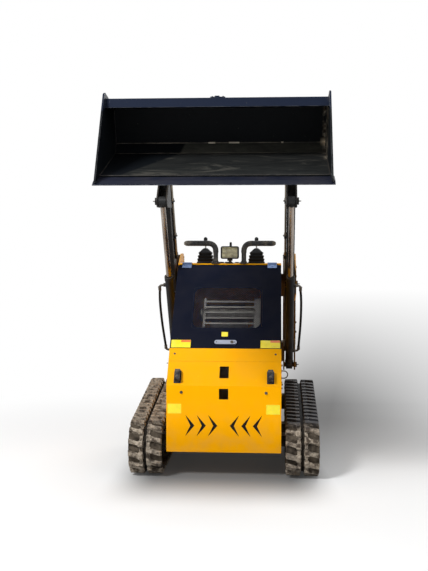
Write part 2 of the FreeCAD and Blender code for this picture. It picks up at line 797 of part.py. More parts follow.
def lift_barrel():
    """The lift cylinder's barrel with a hexagonal hose fitting near each end."""
    barrel = cylinder_barrel(
        outer=LIFT_BARREL_R, length=LIFT_BARREL_LENGTH, eye_half=LIFT_EYE_HALF, pin_r=PIN_R, **LIFT
    )
    pieces = [barrel]
    way = heading(LIFT_BASE_PIN, LIFT_ARM_PIN)[0]
    for along in (HOSE_RUN[0][0], HOSE_RUN[-1][0]):
        place = step(LIFT_BASE_PIN, way, along)
        start = LIFT_X + LIFT_BARREL_R - 3
        pieces.append(hex_head(place, PORT_ACROSS, start, start + 3 + PORT_REACH))
    return joined(pieces)


def across_hose(centre, way, normal):
    """The many-sided face across a hose."""
    return Part.Face(many_sided(centre, normal, normal.cross(way), HOSE_R, HOSE_SIDES))


def lift_hose():
    """The hose along the outside of a lift cylinder: straight runs and tangent arcs in one plane."""
    way = heading(LIFT_BASE_PIN, LIFT_ARM_PIN)[0]
    start_x = LIFT_X + LIFT_BARREL_R + PORT_REACH
    points = [at(step(LIFT_BASE_PIN, way, along), start_x + out) for along, out in HOSE_RUN]
    normal = (points[1] - points[0]).cross(points[2] - points[1]).normalize()
    pieces = []
    start = points[0]
    for before, corner, after in zip(points, points[1:], points[2:]):
        inward = (corner - before).normalize()
        onward = (after - corner).normalize()
        turn = inward.getAngle(onward)
        reach = 0.45 * min((corner - before).Length, (after - corner).Length)
        bend = reach / math.tan(turn / 2)
        end = corner - inward * reach
        axis = inward.cross(onward).normalize()
        centre = end + axis.cross(inward) * bend
        pieces.append(across_hose(start, inward, normal).extrude(end - start))
        pieces.append(across_hose(end, inward, normal).revolve(centre, axis, math.degrees(turn)))
        start = corner + onward * reach
    last = (points[-1] - start).normalize()
    pieces.append(across_hose(start, last, normal).extrude(points[-1] - start))
    return joined(pieces)


# Bucket


def bucket_sheet():
    """The floor, heel, back, roof and turned lip of the bucket as one bent sheet."""
    t = BUCKET_SHEET
    back = BUCKET_FLOOR + BUCKET_HEEL
    lip_a, lip_b = BUCKET_LIP
    flange = (lip_a - 25, lip_b - 38)
    outer = [
        (EDGE_DEPTH - 8, 0),
        (BUCKET_FLOOR, 0),
        (back, BUCKET_HEEL),
        (back, BUCKET_BACK),
        (lip_a, lip_b),
        flange,
        (flange[0] + t, flange[1] - 2),
        (lip_a + 1, lip_b - t - 2),
        (back - t, BUCKET_BACK - t * 0.7),
        (back - t, BUCKET_HEEL + t * 0.41),
        (BUCKET_FLOOR - t * 0.41, t),
        (EDGE_DEPTH - 8, t),
    ]
    inner_half = BUCKET_HALF - SIDE_SHEET
    return prism([in_bucket(a, b) for a, b in outer], -inner_half, inner_half)


def bucket_side():
    """The outline of a side plate, from the cutting edge up to its ear."""
    back = BUCKET_FLOOR + BUCKET_HEEL
    corners = [
        (6, 0),
        (BUCKET_FLOOR, 0),
        (back, BUCKET_HEEL),
        (back, BUCKET_BACK),
        (BUCKET_LIP[0] + 20, BUCKET_EAR[1]),
        (BUCKET_EAR[0] - 12, BUCKET_EAR[1]),
        (6, 16),
    ]
    return [in_bucket(a, b) for a, b in corners]


def bucket_shell():
    """The bent sheet, its two side plates and the pads behind its back."""
    outline = bucket_side()
    sides = [
        prism(outline, -BUCKET_HALF, -BUCKET_HALF + SIDE_SHEET),
        prism(outline, BUCKET_HALF - SIDE_SHEET, BUCKET_HALF),
    ]
    back = BUCKET_FLOOR + BUCKET_HEEL
    pad = [(back, 60), (back, 210), (back + MOUNT_PAD, 195), (back + MOUNT_PAD, 60)]
    corners = [in_bucket(a, b) for a, b in pad]
    pads = [prism(corners, PAD_FROM, PAD_TO), prism(corners, -PAD_TO, -PAD_FROM)]
    return joined([bucket_sheet()] + sides + pads)


def cutting_edge():
    """The bevelled wear plate under the front of the floor."""
    corners = [(0, -EDGE_THICK), (EDGE_DEPTH, -EDGE_THICK), (EDGE_DEPTH, 0), (34, 0), (0, -EDGE_THICK + 3)]
    return prism([in_bucket(a, b) for a, b in corners], -EDGE_HALF, EDGE_HALF)


def attach_plate():
    """The quick-attach plate behind the bucket, its arm ears and pins, and its tilt ears."""
    face = BUCKET_FLOOR + BUCKET_HEEL + MOUNT_PAD
    back = face + ATTACH_THICK
    slab_corners = [(face, 45), (face, 205), (back, 205), (back, 45)]
    slab = prism([in_bucket(a, b) for a, b in slab_corners], -ATTACH_HALF, ATTACH_HALF)
    notch_corners = [(face - 1, 115), (face - 1, 210), (back + 1, 210), (back + 1, 115)]
    slab = slab.cut(prism([in_bucket(a, b) for a, b in notch_corners], -TILT_GAP, TILT_GAP))
    low, high = in_bucket(face + 1, 52), in_bucket(face + 1, 158)
    inner, outer = ARM_INNER_X - EAR_GAP, ARM_OUTER_X + EAR_GAP
    side = [
        plate_with_eye(low, high, BUCKET_PIVOT, 34, inner - EAR_THICK, inner),
        plate_with_eye(low, high, BUCKET_PIVOT, 34, outer, outer + EAR_THICK),
        shaft(BUCKET_PIVOT, PIN_R, inner - EAR_THICK, outer + EAR_THICK),
        hex_head(BUCKET_PIVOT, 2 * PIN_R + 6, outer + EAR_THICK, outer + EAR_THICK + PIN_HEAD),
    ]
    foot_a, foot_b = in_bucket(face + 1, 60), in_bucket(face + 1, 200)
    tilt = []
    for x, head_x in ((-TILT_GAP - EAR_THICK, -TILT_GAP - EAR_THICK - 6), (TILT_GAP, TILT_GAP + EAR_THICK)):
        tilt.append(plate_with_eye(foot_a, foot_b, TILT_ROD_PIN, 30, x, x + EAR_THICK))
        tilt.append(hex_head(TILT_ROD_PIN, 2 * TILT_PIN_R + 6, head_x, head_x + 6))
    return joined([slab] + side + [mirrored(piece) for piece in side] + tilt)


# Hood


def hood_corner(along, depth):
    """A point of the hood's section, along its slope and below its face."""
    return step(HOOD_FOOT, HOOD_WAY, along, HOOD_OUT, -depth)


def slope_block(a0, a1, d0, d1, x0, x1):
    """A block lying in the hood's slope: along it, below its face, and across."""
    return prism([hood_corner(a0, d0), hood_corner(a1, d0), hood_corner(a1, d1), hood_corner(a0, d1)], x0, x1)


def hood_panel():
    """The sloping hood with turned-in edges and a round-cornered window."""
    top = HOOD_LENGTH - 10
    skin = slope_block(2, top, 0, HOOD_SKIN, -BODY_HALF, BODY_HALF)
    window = slope_block(WINDOW_FROM, WINDOW_TO, -1, HOOD_SKIN + 1, -WINDOW_HALF, WINDOW_HALF)
    upright = [e for e in window.Edges if abs(e.Length - HOOD_SKIN - 2) < 0.1]
    window = window.makeFillet(WINDOW_CORNER, upright)
    flange_x = BODY_HALF - SHEET - HOOD_SKIN
    deep = HOOD_SKIN + HOOD_FLANGE
    flanges = [
        slope_block(20, top - 50, HOOD_SKIN, deep, -flange_x, -flange_x + HOOD_SKIN),
        slope_block(20, top - 50, HOOD_SKIN, deep, flange_x - HOOD_SKIN, flange_x),
        slope_block(20, 20 + HOOD_SKIN, HOOD_SKIN, deep, -flange_x, flange_x),
    ]
    return joined([skin.cut(window)] + flanges)


def hood_mesh():
    """The guard behind the hood's window."""
    return slope_block(
        WINDOW_FROM - MESH_LAP, WINDOW_TO + MESH_LAP, HOOD_SKIN, HOOD_SKIN + MESH_THICK,
        -WINDOW_HALF - MESH_LAP, WINDOW_HALF + MESH_LAP,
    )


def hood_latch():
    """The round-ended grip bar of the hood's latch."""
    bar = slope_block(LATCH_FROM, LATCH_TO, -LATCH_HEIGHT, 0, -LATCH_HALF, LATCH_HALF)
    ends = [e for e in bar.Edges if abs(e.Length - LATCH_HEIGHT) < 0.1]
    return bar.makeFillet((LATCH_TO - LATCH_FROM) / 2 - 1, ends)


def hood_hinge():
    """The hood's leaf of a butt hinge and its knuckle."""
    x0, x1 = HINGE_X - HINGE_HALF, HINGE_X + HINGE_HALF
    leaf = slope_block(HOOD_LENGTH - 36, HOOD_LENGTH - 2, -HINGE_LEAF, 0, x0, x1)
    return joined([leaf, shaft(HINGE_AXIS, KNUCKLE_R, x0, x1)])


# Operator's end


def operator_platform():
    """The standing plate with its kick-up sides and its two brackets to the hull."""
    front = CONSOLE_BACK_Y + TAIL_STEP + 2
    top, low = PLATFORM_TOP_Z, PLATFORM_TOP_Z - PLATFORM_DEPTH
    plate = box(-PLATFORM_HALF, PLATFORM_HALF, front, PLATFORM_BACK_Y, top - SHEET, top)
    rims = []
    for x in (-PLATFORM_HALF, PLATFORM_HALF - SHEET):
        rims.append(box(x, x + SHEET, front, PLATFORM_BACK_Y, low, top + PLATFORM_RIM))
    beam = box(-PLATFORM_HALF, PLATFORM_HALF, front, front + 40, low, top)
    hangers = []
    for x in (-BODY_HALF + SHEET, BODY_HALF - SHEET - 20):
        hangers.append(box(x, x + 20, CONSOLE_BACK_Y - 40, front + 10, low, top))
    return joined([plate, beam] + rims + hangers)


def thigh_pad():
    """The padded rest on the back of the control deck."""
    front = CONSOLE_BACK_Y + SHEET
    pad = box(-210, 210, front, front + 48, DECK_Z - 243, DECK_Z - 73)
    edges = [e for e in pad.Edges if abs(e.Vertexes[0].Y - e.Vertexes[1].Y) < 1 and e.Vertexes[0].Y > front + 20]
    return pad.makeFillet(16, edges)


def grip():
    """A bent grab bar: it rises from the deck and turns outward."""
    high = DECK_Z + GRIP_RISE
    points = [
        Vector(GRIP_FOOT_X, GRIP_Y, DECK_Z),
        Vector(GRIP_FOOT_X, GRIP_Y, high),
        Vector(GRIP_END_X, GRIP_Y, high),
    ]
    return mitred_tube(points[:1] + bend_steps(*points, GRIP_BEND, 3) + points[2:], GRIP_R)


def joystick():
    """A square pleated rubber boot with its stem and knob."""
    right = [(CONTROLS_Y + half, DECK_Z + rise) for half, rise in BOOT_PLEATS]
    left = [(CONTROLS_Y - half, DECK_Z + rise) for half, rise in BOOT_PLEATS]
    widest, top = BOOT_PLEATS[0][0], BOOT_PLEATS[-1][1]
    outline = [(CONTROLS_Y - widest, DECK_Z), (CONTROLS_Y + widest, DECK_Z)] + right + left[::-1]
    blade = prism(outline, STICK_X - widest - 1, STICK_X + widest + 1)
    crossed = blade.copy()
    crossed.rotate(Vector(STICK_X, CONTROLS_Y, 0), Vector(0, 0, 1), 90)
    up = Vector(0, 0, 1)
    stem = box(STICK_X - 5, STICK_X + 5, CONTROLS_Y - 5, CONTROLS_Y + 5, DECK_Z + top, DECK_Z + STICK_RISE - 1)
    knob_foot = Vector(STICK_X, CONTROLS_Y, DECK_Z + STICK_RISE - KNOB_HEIGHT)
    knob = Part.makeCylinder(KNOB_R, KNOB_HEIGHT, knob_foot, up)
    return joined([blade.common(crossed), stem, knob])


def work_lamp():
    """The box lamp on its foot."""
    middle = GRIP_Y + 17
    low, high = LAMP_Z
    foot = box(-25, 25, middle - 20, middle + 20, DECK_Z, DECK_Z + 5)
    post = box(-12, 12, middle - 3, middle + 3, DECK_Z, DECK_Z + low + 3)
    shell = box(
        -LAMP_HALF, LAMP_HALF, middle - LAMP_DEPTH / 2, middle + LAMP_DEPTH / 2, DECK_Z + low, DECK_Z + high
    )
    return joined([foot, post, shell])


def throttle_lever():
    """A short lever standing on a collar in the deck."""
    back = CONTROLS_Y - 40
    stem = box(-4, 4, back - 4, back + 4, DECK_Z, DECK_Z + 152)
    collar = box(-16, 16, back - 16, back + 16, DECK_Z, DECK_Z + 8)
    return joined([collar, stem])


def save(name, shape):
    """Write one node, moved so that the frame's origin is in the middle of the length."""
    placed = shape.copy()
    placed.translate(Vector(0, -ORIGIN_Y, 0))
    placed.exportStep("parts/" + name + ".step")


def save_pair(name, shape):
    save(name + "_left", shape)
    save(name + "_right", mirrored(shape))


def main():
    os.makedirs("parts", exist_ok=True)
    save("chassis_tub", chassis_tub())
    save("front_plate", front_plate())
    save("front_strip", front_strip())
    save_pair("front_stop", front_stop())
    save("console", console())
    save("rear_panel", rear_panel())
    save("engine_block", engine_block())
    save_pair("tower", tower())
    save_pair("track_frame", track_frame())
    save_pair("track", track())
    save_pair("sprocket", sprocket())
    save("operator_platform", operator_platform())
    save("thigh_pad", thigh_pad())
    save_pair("grip", grip())
    save_pair("joystick", joystick())
    save("work_lamp", work_lamp())
    save("throttle_lever", throttle_lever())
    save_pair("boom_arm", boom_arm())
    save("boom_cross_tube", boom_cross_tube())
    save_pair("boom_lines", boom_lines())
    save("hood_panel", hood_panel())
    save("hood_mesh", hood_mesh())
    save("hood_latch", hood_latch())
    save_pair("hood_hinge", hood_hinge())
    save_pair("lift_barrel", lift_barrel())
    save_pair("lift_hose", lift_hose())
    save_pair("lift_rod", cylinder_rod(length=LIFT_ROD_LENGTH, eye_half=LIFT_EYE_HALF, **LIFT))
    save("tilt_barrel", tilt_barrel())
    save("tilt_rod", cylinder_rod(length=TILT_ROD_LENGTH, eye_half=TILT_ROD_EYE_HALF, **TILT))
    save("attach_plate", attach_plate())
    save("bucket_shell", bucket_shell())
    save("cutting_edge", cutting_edge())


main()
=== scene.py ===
"""A stand-on mini track loader: finishes, fittings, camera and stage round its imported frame."""

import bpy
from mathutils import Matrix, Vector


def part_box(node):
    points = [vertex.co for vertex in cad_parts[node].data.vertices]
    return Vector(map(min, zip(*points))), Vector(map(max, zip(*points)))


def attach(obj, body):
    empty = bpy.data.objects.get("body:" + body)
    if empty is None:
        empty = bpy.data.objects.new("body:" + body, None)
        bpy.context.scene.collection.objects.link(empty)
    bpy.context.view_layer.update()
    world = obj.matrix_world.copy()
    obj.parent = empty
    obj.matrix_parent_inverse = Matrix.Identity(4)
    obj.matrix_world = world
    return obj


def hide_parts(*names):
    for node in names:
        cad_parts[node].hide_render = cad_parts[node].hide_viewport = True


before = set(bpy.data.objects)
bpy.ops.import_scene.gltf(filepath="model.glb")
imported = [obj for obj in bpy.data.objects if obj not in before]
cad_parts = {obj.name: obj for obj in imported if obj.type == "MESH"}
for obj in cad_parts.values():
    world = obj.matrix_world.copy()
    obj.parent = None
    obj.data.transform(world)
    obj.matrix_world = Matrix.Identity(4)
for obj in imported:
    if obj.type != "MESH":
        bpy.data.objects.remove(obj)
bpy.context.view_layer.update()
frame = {"nodes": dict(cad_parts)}

import math

import bmesh
import bpy
from mathutils import Matrix, Vector

bl_info = {
    "name": "Mini Track Loader",
    "version": (1, 0, 0),
    "blender": (4, 5, 0),
    "location": "3D View > Sidebar > Loader",
    "description": "Finishes and fittings for a stand-on mini track loader",
    "category": "Object",
}

NODES = frame["nodes"]
SIDES = (("left", 1), ("right", -1))
SIDEWAYS, BACKWARDS, UP = Vector((1, 0, 0)), Vector((0, 1, 0)), Vector((0, 0, 1))
FINISH, TREES = {}, {}   # filled by the finishes operator

# Places. Side views are in millimetres, y from the front of the tracks and z up.


def at(y, z, x=0.0):
    """A side-view point placed at x, in metres in the frame."""
    return Vector((x, y - 290.0, z)) / 1000


def way(start, end):
    return (end - start).normalized()


def square_to(direction):
    """The side-view direction that lies over another one."""
    return Vector((0, direction.z, -direction.y))


NOSE_BEND, HOOD_FOOT, HOOD_HEAD = at(50, 503), at(207, 689), at(671, 1149)
DECK_Z = 1.149
LEAN_WAY, HOOD_WAY = way(NOSE_BEND, HOOD_FOOT), way(HOOD_FOOT, HOOD_HEAD)
LEAN_OUT, HOOD_OUT = SIDEWAYS.cross(LEAN_WAY), SIDEWAYS.cross(HOOD_WAY)
BODY_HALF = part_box("front_plate")[1].x
WINDOW_HALF, WINDOW_RISE, WINDOW_MIDDLE = 0.200, 0.1595, 0.3015
BUCKET_TIP, BUCKET_TURN = at(-813, 1532), math.radians(19)
BUCKET_BACK = Vector((0, math.cos(BUCKET_TURN), math.sin(BUCKET_TURN)))
BUCKET_UP = SIDEWAYS.cross(BUCKET_BACK)


def in_bucket(a, b, x=0.0):
    """A point of the level bucket, a behind its tip and b above its floor, as it stands."""
    y = a * math.cos(BUCKET_TURN) - b * math.sin(BUCKET_TURN)
    z = a * math.sin(BUCKET_TURN) + b * math.cos(BUCKET_TURN)
    return BUCKET_TIP + Vector((x * 1000, y, z)) / 1000


BOOM_PIVOT, KNEE, BUCKET_PIVOT = at(885, 1021), at(421, 1696), in_bucket(670, 100)
REAR_WAY, FRONT_WAY = way(BOOM_PIVOT, KNEE), way(KNEE, BUCKET_PIVOT)
REAR_TOP, FRONT_TOP = square_to(REAR_WAY), square_to(FRONT_WAY)
LIFT_BASE, LIFT_HEAD = at(1050, 496), at(334, 1508)
TILT_BASE, TILT_HEAD = KNEE + FRONT_WAY * 0.125 + FRONT_TOP * 0.060, in_bucket(632, 220)
LIFT_WAY, TILT_WAY = way(LIFT_BASE, LIFT_HEAD), way(TILT_BASE, TILT_HEAD)
LIFT_EYE_FOOT = (LIFT_HEAD - LIFT_BASE).length - 0.034
TILT_EYE_FOOT = (TILT_HEAD - TILT_BASE).length - 0.031
SPROCKET = at(940, 276)
TRACK_X = 0.425


def on_nose(x, z):
    return Vector((x, NOSE_BEND.y, z))


def on_lean(x, along, proud=0.0):
    return NOSE_BEND + LEAN_WAY * along + SIDEWAYS * x + LEAN_OUT * proud


def on_hood(x, along, proud=0.0):
    return HOOD_FOOT + HOOD_WAY * along + SIDEWAYS * x + HOOD_OUT * proud


def on_lift(x, along):
    """A point beside the left lift barrel, some way along it from its base pin."""
    return LIFT_BASE + LIFT_WAY * along + SIDEWAYS * x


def circle(count, start=0.0):
    """Cosine and sine pairs spaced evenly round a circle."""
    turns = [start + math.tau * i / count for i in range(count)]
    return [(math.cos(t), math.sin(t)) for t in turns]


def wheel_round(centre, radius, count):
    """Places spaced evenly on a circle in a side view."""
    return [centre + Vector((0, c, s)) * radius for c, s in circle(count)]


# Node trees


class Wires:
    """Adds nodes to a tree and joins them, so that a recipe reads from top to bottom."""

    def __init__(self, tree):
        self.tree = tree

    def add(self, kind, inputs=None, out=0, **settings):
        """A node with its inputs set or wired; gives the output asked for."""
        node = self.tree.nodes.new(kind)
        for name, value in settings.items():
            setattr(node, name, value)
        for key, value in (inputs or {}).items():
            if isinstance(value, bpy.types.NodeSocket):
                self.tree.links.new(value, node.inputs[key])
            else:
                node.inputs[key].default_value = value
        return None if out is None else node.outputs[out]

    def math(self, operation, a, b=0.0):
        return self.add("ShaderNodeMath", {0: a, 1: b}, operation=operation)

    def times(self, product, *more):
        for value in more:
            product = self.math("MULTIPLY", product, value)
        return product

    def most(self, a, b):
        return self.math("MAXIMUM", a, b)


def srgb(red, green, blue):
    """A screen colour of 0 to 255 as a linear colour."""
    linear = [((c / 255 + 0.055) / 1.055) ** 2.4 if c > 10 else c / 3294.6 for c in (red, green, blue)]
    return (*linear, 1.0)


def shade(colour, factor):
    return tuple(min(1.0, c * factor) for c in colour[:3]) + (1.0,)


class Finish(Wires):
    """A material in the making, on the object's own coordinates."""

    def __init__(self, name):
        self.material = bpy.data.materials.new(name)
        self.material.use_nodes = True
        super().__init__(self.material.node_tree)
        self.tree.nodes.clear()
        self.place = self.add("ShaderNodeTexCoord", out="Object")

    def band(self, value, low, high, soft="LINEAR"):
        """0 at low and 1 at high, held between."""
        inputs = {"Value": value, "From Min": low, "From Max": high}
        return self.add("ShaderNodeMapRange", inputs, interpolation_type=soft)

    def soft(self, value, low, high):
        return self.band(value, low, high, "SMOOTHSTEP")

    def noise(self, scale, detail=4.0, rough=0.55, stretch=None, warp=0.0):
        place = self.place
        if stretch:
            place = self.add("ShaderNodeMapping", {"Vector": place, "Scale": stretch})
        inputs = {"Vector": place, "Scale": scale, "Detail": detail, "Roughness": rough, "Distortion": warp}
        return self.add("ShaderNodeTexNoise", inputs)

    def patches(self, scale, low, high, *look, **more):
        """Soft-edged patches: 0 outside them and 1 inside."""
        return self.band(self.noise(scale, *look, **more), low, high)

    def mix(self, share, a, b):
        return self.add("ShaderNodeMix", {0: share, 6: a, 7: b}, out=2, data_type="RGBA")

    def over(self, tone, colour, *shares):
        """A colour laid over a tone by the product of some shares."""
        return self.mix(self.times(*shares), tone, colour)

    def between(self, share, a, b):
        return self.add("ShaderNodeMix", {0: share, 2: a, 3: b}, out=0)

    def vector(self, operation, a, b=None, out="Value"):
        inputs = {0: a} if b is None else {0: a, 1: b}
        return self.add("ShaderNodeVectorMath", inputs, out=out, operation=operation)

    def along(self, direction, origin=(0, 0, 0)):
        """How far the place lies from origin along a direction."""
        return self.vector("DOT_PRODUCT", self.vector("SUBTRACT", self.place, tuple(origin), out=0), tuple(direction))

    def facing(self, direction):
        """How far the surface faces a direction, from -1 to 1."""
        return self.vector("DOT_PRODUCT", self.add("ShaderNodeNewGeometry", out="True Normal"), tuple(direction))

    def rounded(self, radius):
        return self.add("ShaderNodeBevel", {"Radius": radius}, samples=6)

    def edges(self, radius):
        """1 on the edges of a piece and 0 on its faces."""
        normal = self.add("ShaderNodeNewGeometry", out="Normal")
        return self.band(self.vector("DOT_PRODUCT", self.rounded(radius), normal), 0.985, 0.80)

    def bump(self, height, strength, distance, normal=None):
        inputs = {"Height": height, "Strength": strength, "Distance": distance}
        if normal:
            inputs["Normal"] = normal
        return self.add("ShaderNodeBump", inputs)

    def close(self, colour, rough, metal=0.0, normal=None, shine=0.5, coat=0.0):
        inputs = {"Base Color": colour, "Roughness": rough, "Metallic": metal}
        inputs.update({"Specular IOR Level": shine, "Coat Weight": coat})
        if normal:
            inputs["Normal"] = normal
        self.add("ShaderNodeOutputMaterial", {"Surface": self.add("ShaderNodeBsdfPrincipled", inputs)}, out=None)
        return self.material


DUST = srgb(142, 128, 108)


def painted(name, colour, rough, chips, bare, dust, grain, soil_below=0.0, shine=0.25, shade_below=0.0):
    """Sprayed paint on steel: slow changes of tone, fine scratches, chipped edges and settled dust, and, when asked,
    painted shade low down.
    """
    f = Finish(name)
    tone = f.mix(f.patches(2.3, 0.35, 0.65), shade(colour, 1 - grain), shade(colour, 1 + grain))
    tone = f.over(tone, shade(colour, 1.7), f.patches(55, 0.71, 0.80, 2, stretch=(1, 1, 0.05)), 0.25)
    settled = f.times(f.band(f.facing(UP), 0.3, 1.0), f.patches(9, 0.3, 0.7))
    if soil_below:
        height = f.along(UP)
        # Painted shade: the paint darkens towards the bottom, below about 0.34 m, by the share given last.
        tone = f.over(tone, shade(colour, 0.7), f.band(height, 0.34, 0.19), shade_below)
        splash = f.times(f.band(height, soil_below, 0.1), f.patches(16, 0.42, 0.62, 8))
        settled = f.most(settled, splash)
    settled = f.times(settled, dust)
    tone = f.mix(settled, tone, DUST)
    edge = f.times(f.edges(0.003), f.patches(38, 0.44, 0.58, 6), chips)
    tone = f.mix(edge, tone, bare)
    roughness = f.between(settled, f.between(f.patches(14, 0.3, 0.7), rough - 0.05, rough + 0.1), 0.85)
    normal = f.bump(f.noise(650, 2), 0.08, 0.0004, f.rounded(0.0015))
    return f.close(tone, roughness, f.times(edge, 0.7), normal, shine)


def tower_paint(name, colour):
    """The towers' paint, with painted shade in dark brown where it faces the cylinders, settled dust on top and streaks
    lower down.
    """
    f = Finish(name)
    across = f.along(SIDEWAYS)
    beside = f.math("ABSOLUTE", across)
    height = f.along(UP)
    tone = f.mix(f.patches(2.3, 0.35, 0.65), shade(colour, 0.96), shade(colour, 1.04))
    # Painted shade in dark brown: faces turned forward, the inner plates (the left tower's all over, the right one's
    # below about 1 m) and the outer cheeks' inward faces.
    ahead = f.times(f.band(f.facing(-BACKWARDS), 0.3, 0.8), f.band(beside, 0.4035, 0.4025))
    inner = f.times(f.band(beside, 0.3362, 0.3355), f.band(f.facing(BACKWARDS), 0.8, 0.5))
    inner = f.times(inner, f.most(f.band(across, -0.1, 0.1), f.band(height, 1.06, 1.0)))
    inward = f.times(f.facing(SIDEWAYS), f.math("SIGN", across))
    cheek = f.times(f.band(inward, -0.4, -0.8), f.band(beside, 0.375, 0.385))
    uneven = f.between(f.patches(7, 0.3, 0.6, 6), 0.93, 1.0)
    # The mask of painted shade, a little uneven, darkens these faces to dark brown.
    painted_shade = f.times(f.most(ahead, f.most(inner, cheek)), uneven)
    tone = f.over(tone, srgb(31, 22, 15), painted_shade, 0.98)
    streak = f.patches(18, 0.56, 0.74, 6, 0.6, stretch=(1, 1, 0.25))
    tone = f.over(tone, srgb(96, 78, 50), streak, f.band(height, 0.9, 0.5), 0.3)
    tone = f.over(tone, srgb(150, 136, 112), f.band(f.facing(UP), 0.3, 0.9), f.patches(14, 0.3, 0.6, 7), 0.6)
    tone = f.mix(f.band(beside, 0.4035, 0.4045), tone, srgb(46, 44, 42))
    tone = f.over(tone, srgb(96, 82, 60), f.edges(0.003), f.patches(38, 0.44, 0.58, 6), 0.4)
    normal = f.bump(f.noise(400, 4), 0.1, 0.0005, f.rounded(0.0015))
    return f.close(tone, f.between(painted_shade, 0.42, 0.75), 0.0, normal, 0.2)


def rod_steel(name, origin, axis, reach):
    """Chromed rod in brownish grey with darker brown patches, a painted reflection of the ground; its painted eye lies
    beyond a distance along it.
    """
    f = Finish(name)
    eye = f.band(f.along(axis, origin), reach - 0.001, reach)
    # Brownish grey and darker brown patches: painted reflection of the ground.
    tone = f.over(srgb(164, 154, 144), srgb(104, 88, 76), f.patches(9, 0.35, 0.7, 6), 0.6)
    tone = f.mix(eye, tone, srgb(20, 20, 21))
    roughness = f.between(eye, f.between(f.noise(40, 3), 0.22, 0.34), 0.5)
    return f.close(tone, roughness, f.math("SUBTRACT", 1.0, eye), shine=0.3)


def bucket_steel(name):
    """Dark bucket paint with grey streaks of wear on the floor right of a painted shadow line, a navy painted sky
    reflection on the lip, painted highlights along the folds, and a rusty left corner made paler by painted light.
    """
    f = Finish(name)
    depth, height, across = f.along(BUCKET_BACK, BUCKET_TIP), f.along(BUCKET_UP, BUCKET_TIP), f.along(SIDEWAYS)
    tone = f.mix(f.patches(3, 0.35, 0.65), srgb(8, 11, 15), srgb(15, 18, 21))
    # Painted shadow: the floor left of this diagonal keeps the dark paint as the side plate's shadow; right of it the
    # floor shows wear and painted light.
    shadow_line = f.math("SUBTRACT", across, f.times(depth, 0.55))
    worn_and_lit = f.times(f.band(height, 0.075, 0.03), f.band(f.facing(BUCKET_UP), 0.3, 0.8), f.band(shadow_line, -0.496, -0.484))
    streak = f.patches(26, 0.36, 0.72, 7, 0.62, (0.3, 1.2, 1.2), 0.6)
    # The slanted face between the folds gets a paler grey, painted light against its shade.
    bared_and_lit = f.mix(f.band(depth, 0.535, 0.540), srgb(39, 40, 39), srgb(92, 92, 84))
    tone = f.over(tone, bared_and_lit, worn_and_lit, f.between(streak, 0.45, 1.0))
    rub = f.patches(5, 0.54, 0.66, 8, 0.65, (0.6, 1.4, 1.4), 2.5)
    tone = f.over(tone, srgb(88, 86, 80), worn_and_lit, rub, 0.4)
    # Navy tint along the roof lip: painted reflection of the sky.
    tone = f.over(tone, srgb(22, 30, 48), f.band(height, 0.262, 0.275), 0.9)
    # Pale lines along the two folds: painted highlights.
    for fold_depth, fold_height in ((0.537, 0.006), (0.579, 0.048)):
        run, rise = f.math("SUBTRACT", depth, fold_depth), f.math("SUBTRACT", height, fold_height)
        away = f.math("SQRT", f.math("ADD", f.times(run, run), f.times(rise, rise)))
        uneven = f.between(f.patches(5, 0.42, 0.64, 8), 0.15, 1.0)
        tone = f.over(tone, srgb(150, 142, 128), f.band(away, 0.0034, 0.0015), uneven, 0.8)
    # Near-white dashes on the upper fold: painted glints.
    for start, end in ((-0.057, -0.026), (0.045, 0.094), (0.304, 0.311)):
        dash = f.times(f.band(across, start - 0.003, start), f.band(across, end + 0.003, end))
        tone = f.over(tone, srgb(226, 216, 198), dash, f.band(away, 0.0045, 0.0030))
    # Rust along the inside of the left wall, its colours made paler as painted light against the shade there.
    inside = f.times(f.band(across, 0.500, 0.5195), f.band(across, 0.5225, 0.5215), f.band(depth, 0.34, 0.54))
    rust = f.mix(f.patches(60, 0.4, 0.6), srgb(118, 100, 76), srgb(218, 208, 188))
    tone = f.over(tone, rust, inside, f.patches(24, 0.42, 0.60, 8), 0.9)
    # A near-white spot where the left wall meets the upper fold: painted highlight.
    spot = f.times(f.band(away, 0.026, 0.004), f.band(across, 0.490, 0.514))
    tone = f.over(tone, srgb(255, 236, 204), spot, f.between(f.patches(50, 0.35, 0.6), 0.7, 1.0))
    edge = f.times(f.edges(0.004), f.patches(22, 0.36, 0.55, 8))
    tone = f.over(tone, srgb(120, 122, 124), edge, 0.6)
    tone = f.over(tone, srgb(150, 146, 136), f.patches(90, 0.74, 0.77, 3), 0.5)
    roof = f.times(f.band(f.facing(BUCKET_UP), 0.3, 0.8), f.band(height, 0.19, 0.22))
    roughness = f.between(roof, f.between(worn_and_lit, 0.5, f.between(streak, 0.42, 0.55)), 0.9)
    normal = f.bump(f.noise(160, 6), 0.12, 0.0008, f.rounded(0.002))
    return f.close(tone, roughness, f.times(edge, 0.5), normal, 0.08)


def bare_steel(name, colour, rough=0.3, grain=(1, 1, 1), tarnish=0.25):
    """Bright or plated metal with fine drawn lines and dull spots."""
    f = Finish(name)
    lines = f.noise(180, 3, stretch=grain)
    spots = f.patches(12, 0.48, 0.68, 7)
    tone = f.over(colour, shade(colour, 0.45), spots, tarnish)
    roughness = f.between(spots, f.between(lines, rough - 0.08, rough + 0.08), rough + 0.25)
    return f.close(tone, roughness, 1.0, f.bump(lines, 0.05, 0.0003, f.rounded(0.0008)))


def muddied(f):
    """Where dried mud lies on a track: low down, in front and all over the machine's right one."""
    low = f.band(f.along(UP), 0.30, 0.27)
    front = f.band(f.along(BACKWARDS), at(120, 0).y, at(60, 0).y)
    right = f.band(f.along(-SIDEWAYS), -0.1, 0.1)
    reach = f.most(f.most(f.times(low, front), f.times(low, 0.8)), right)
    return f.times(reach, f.between(f.patches(9, 0.34, 0.46, 8, 0.62), 0.55, 1.0))


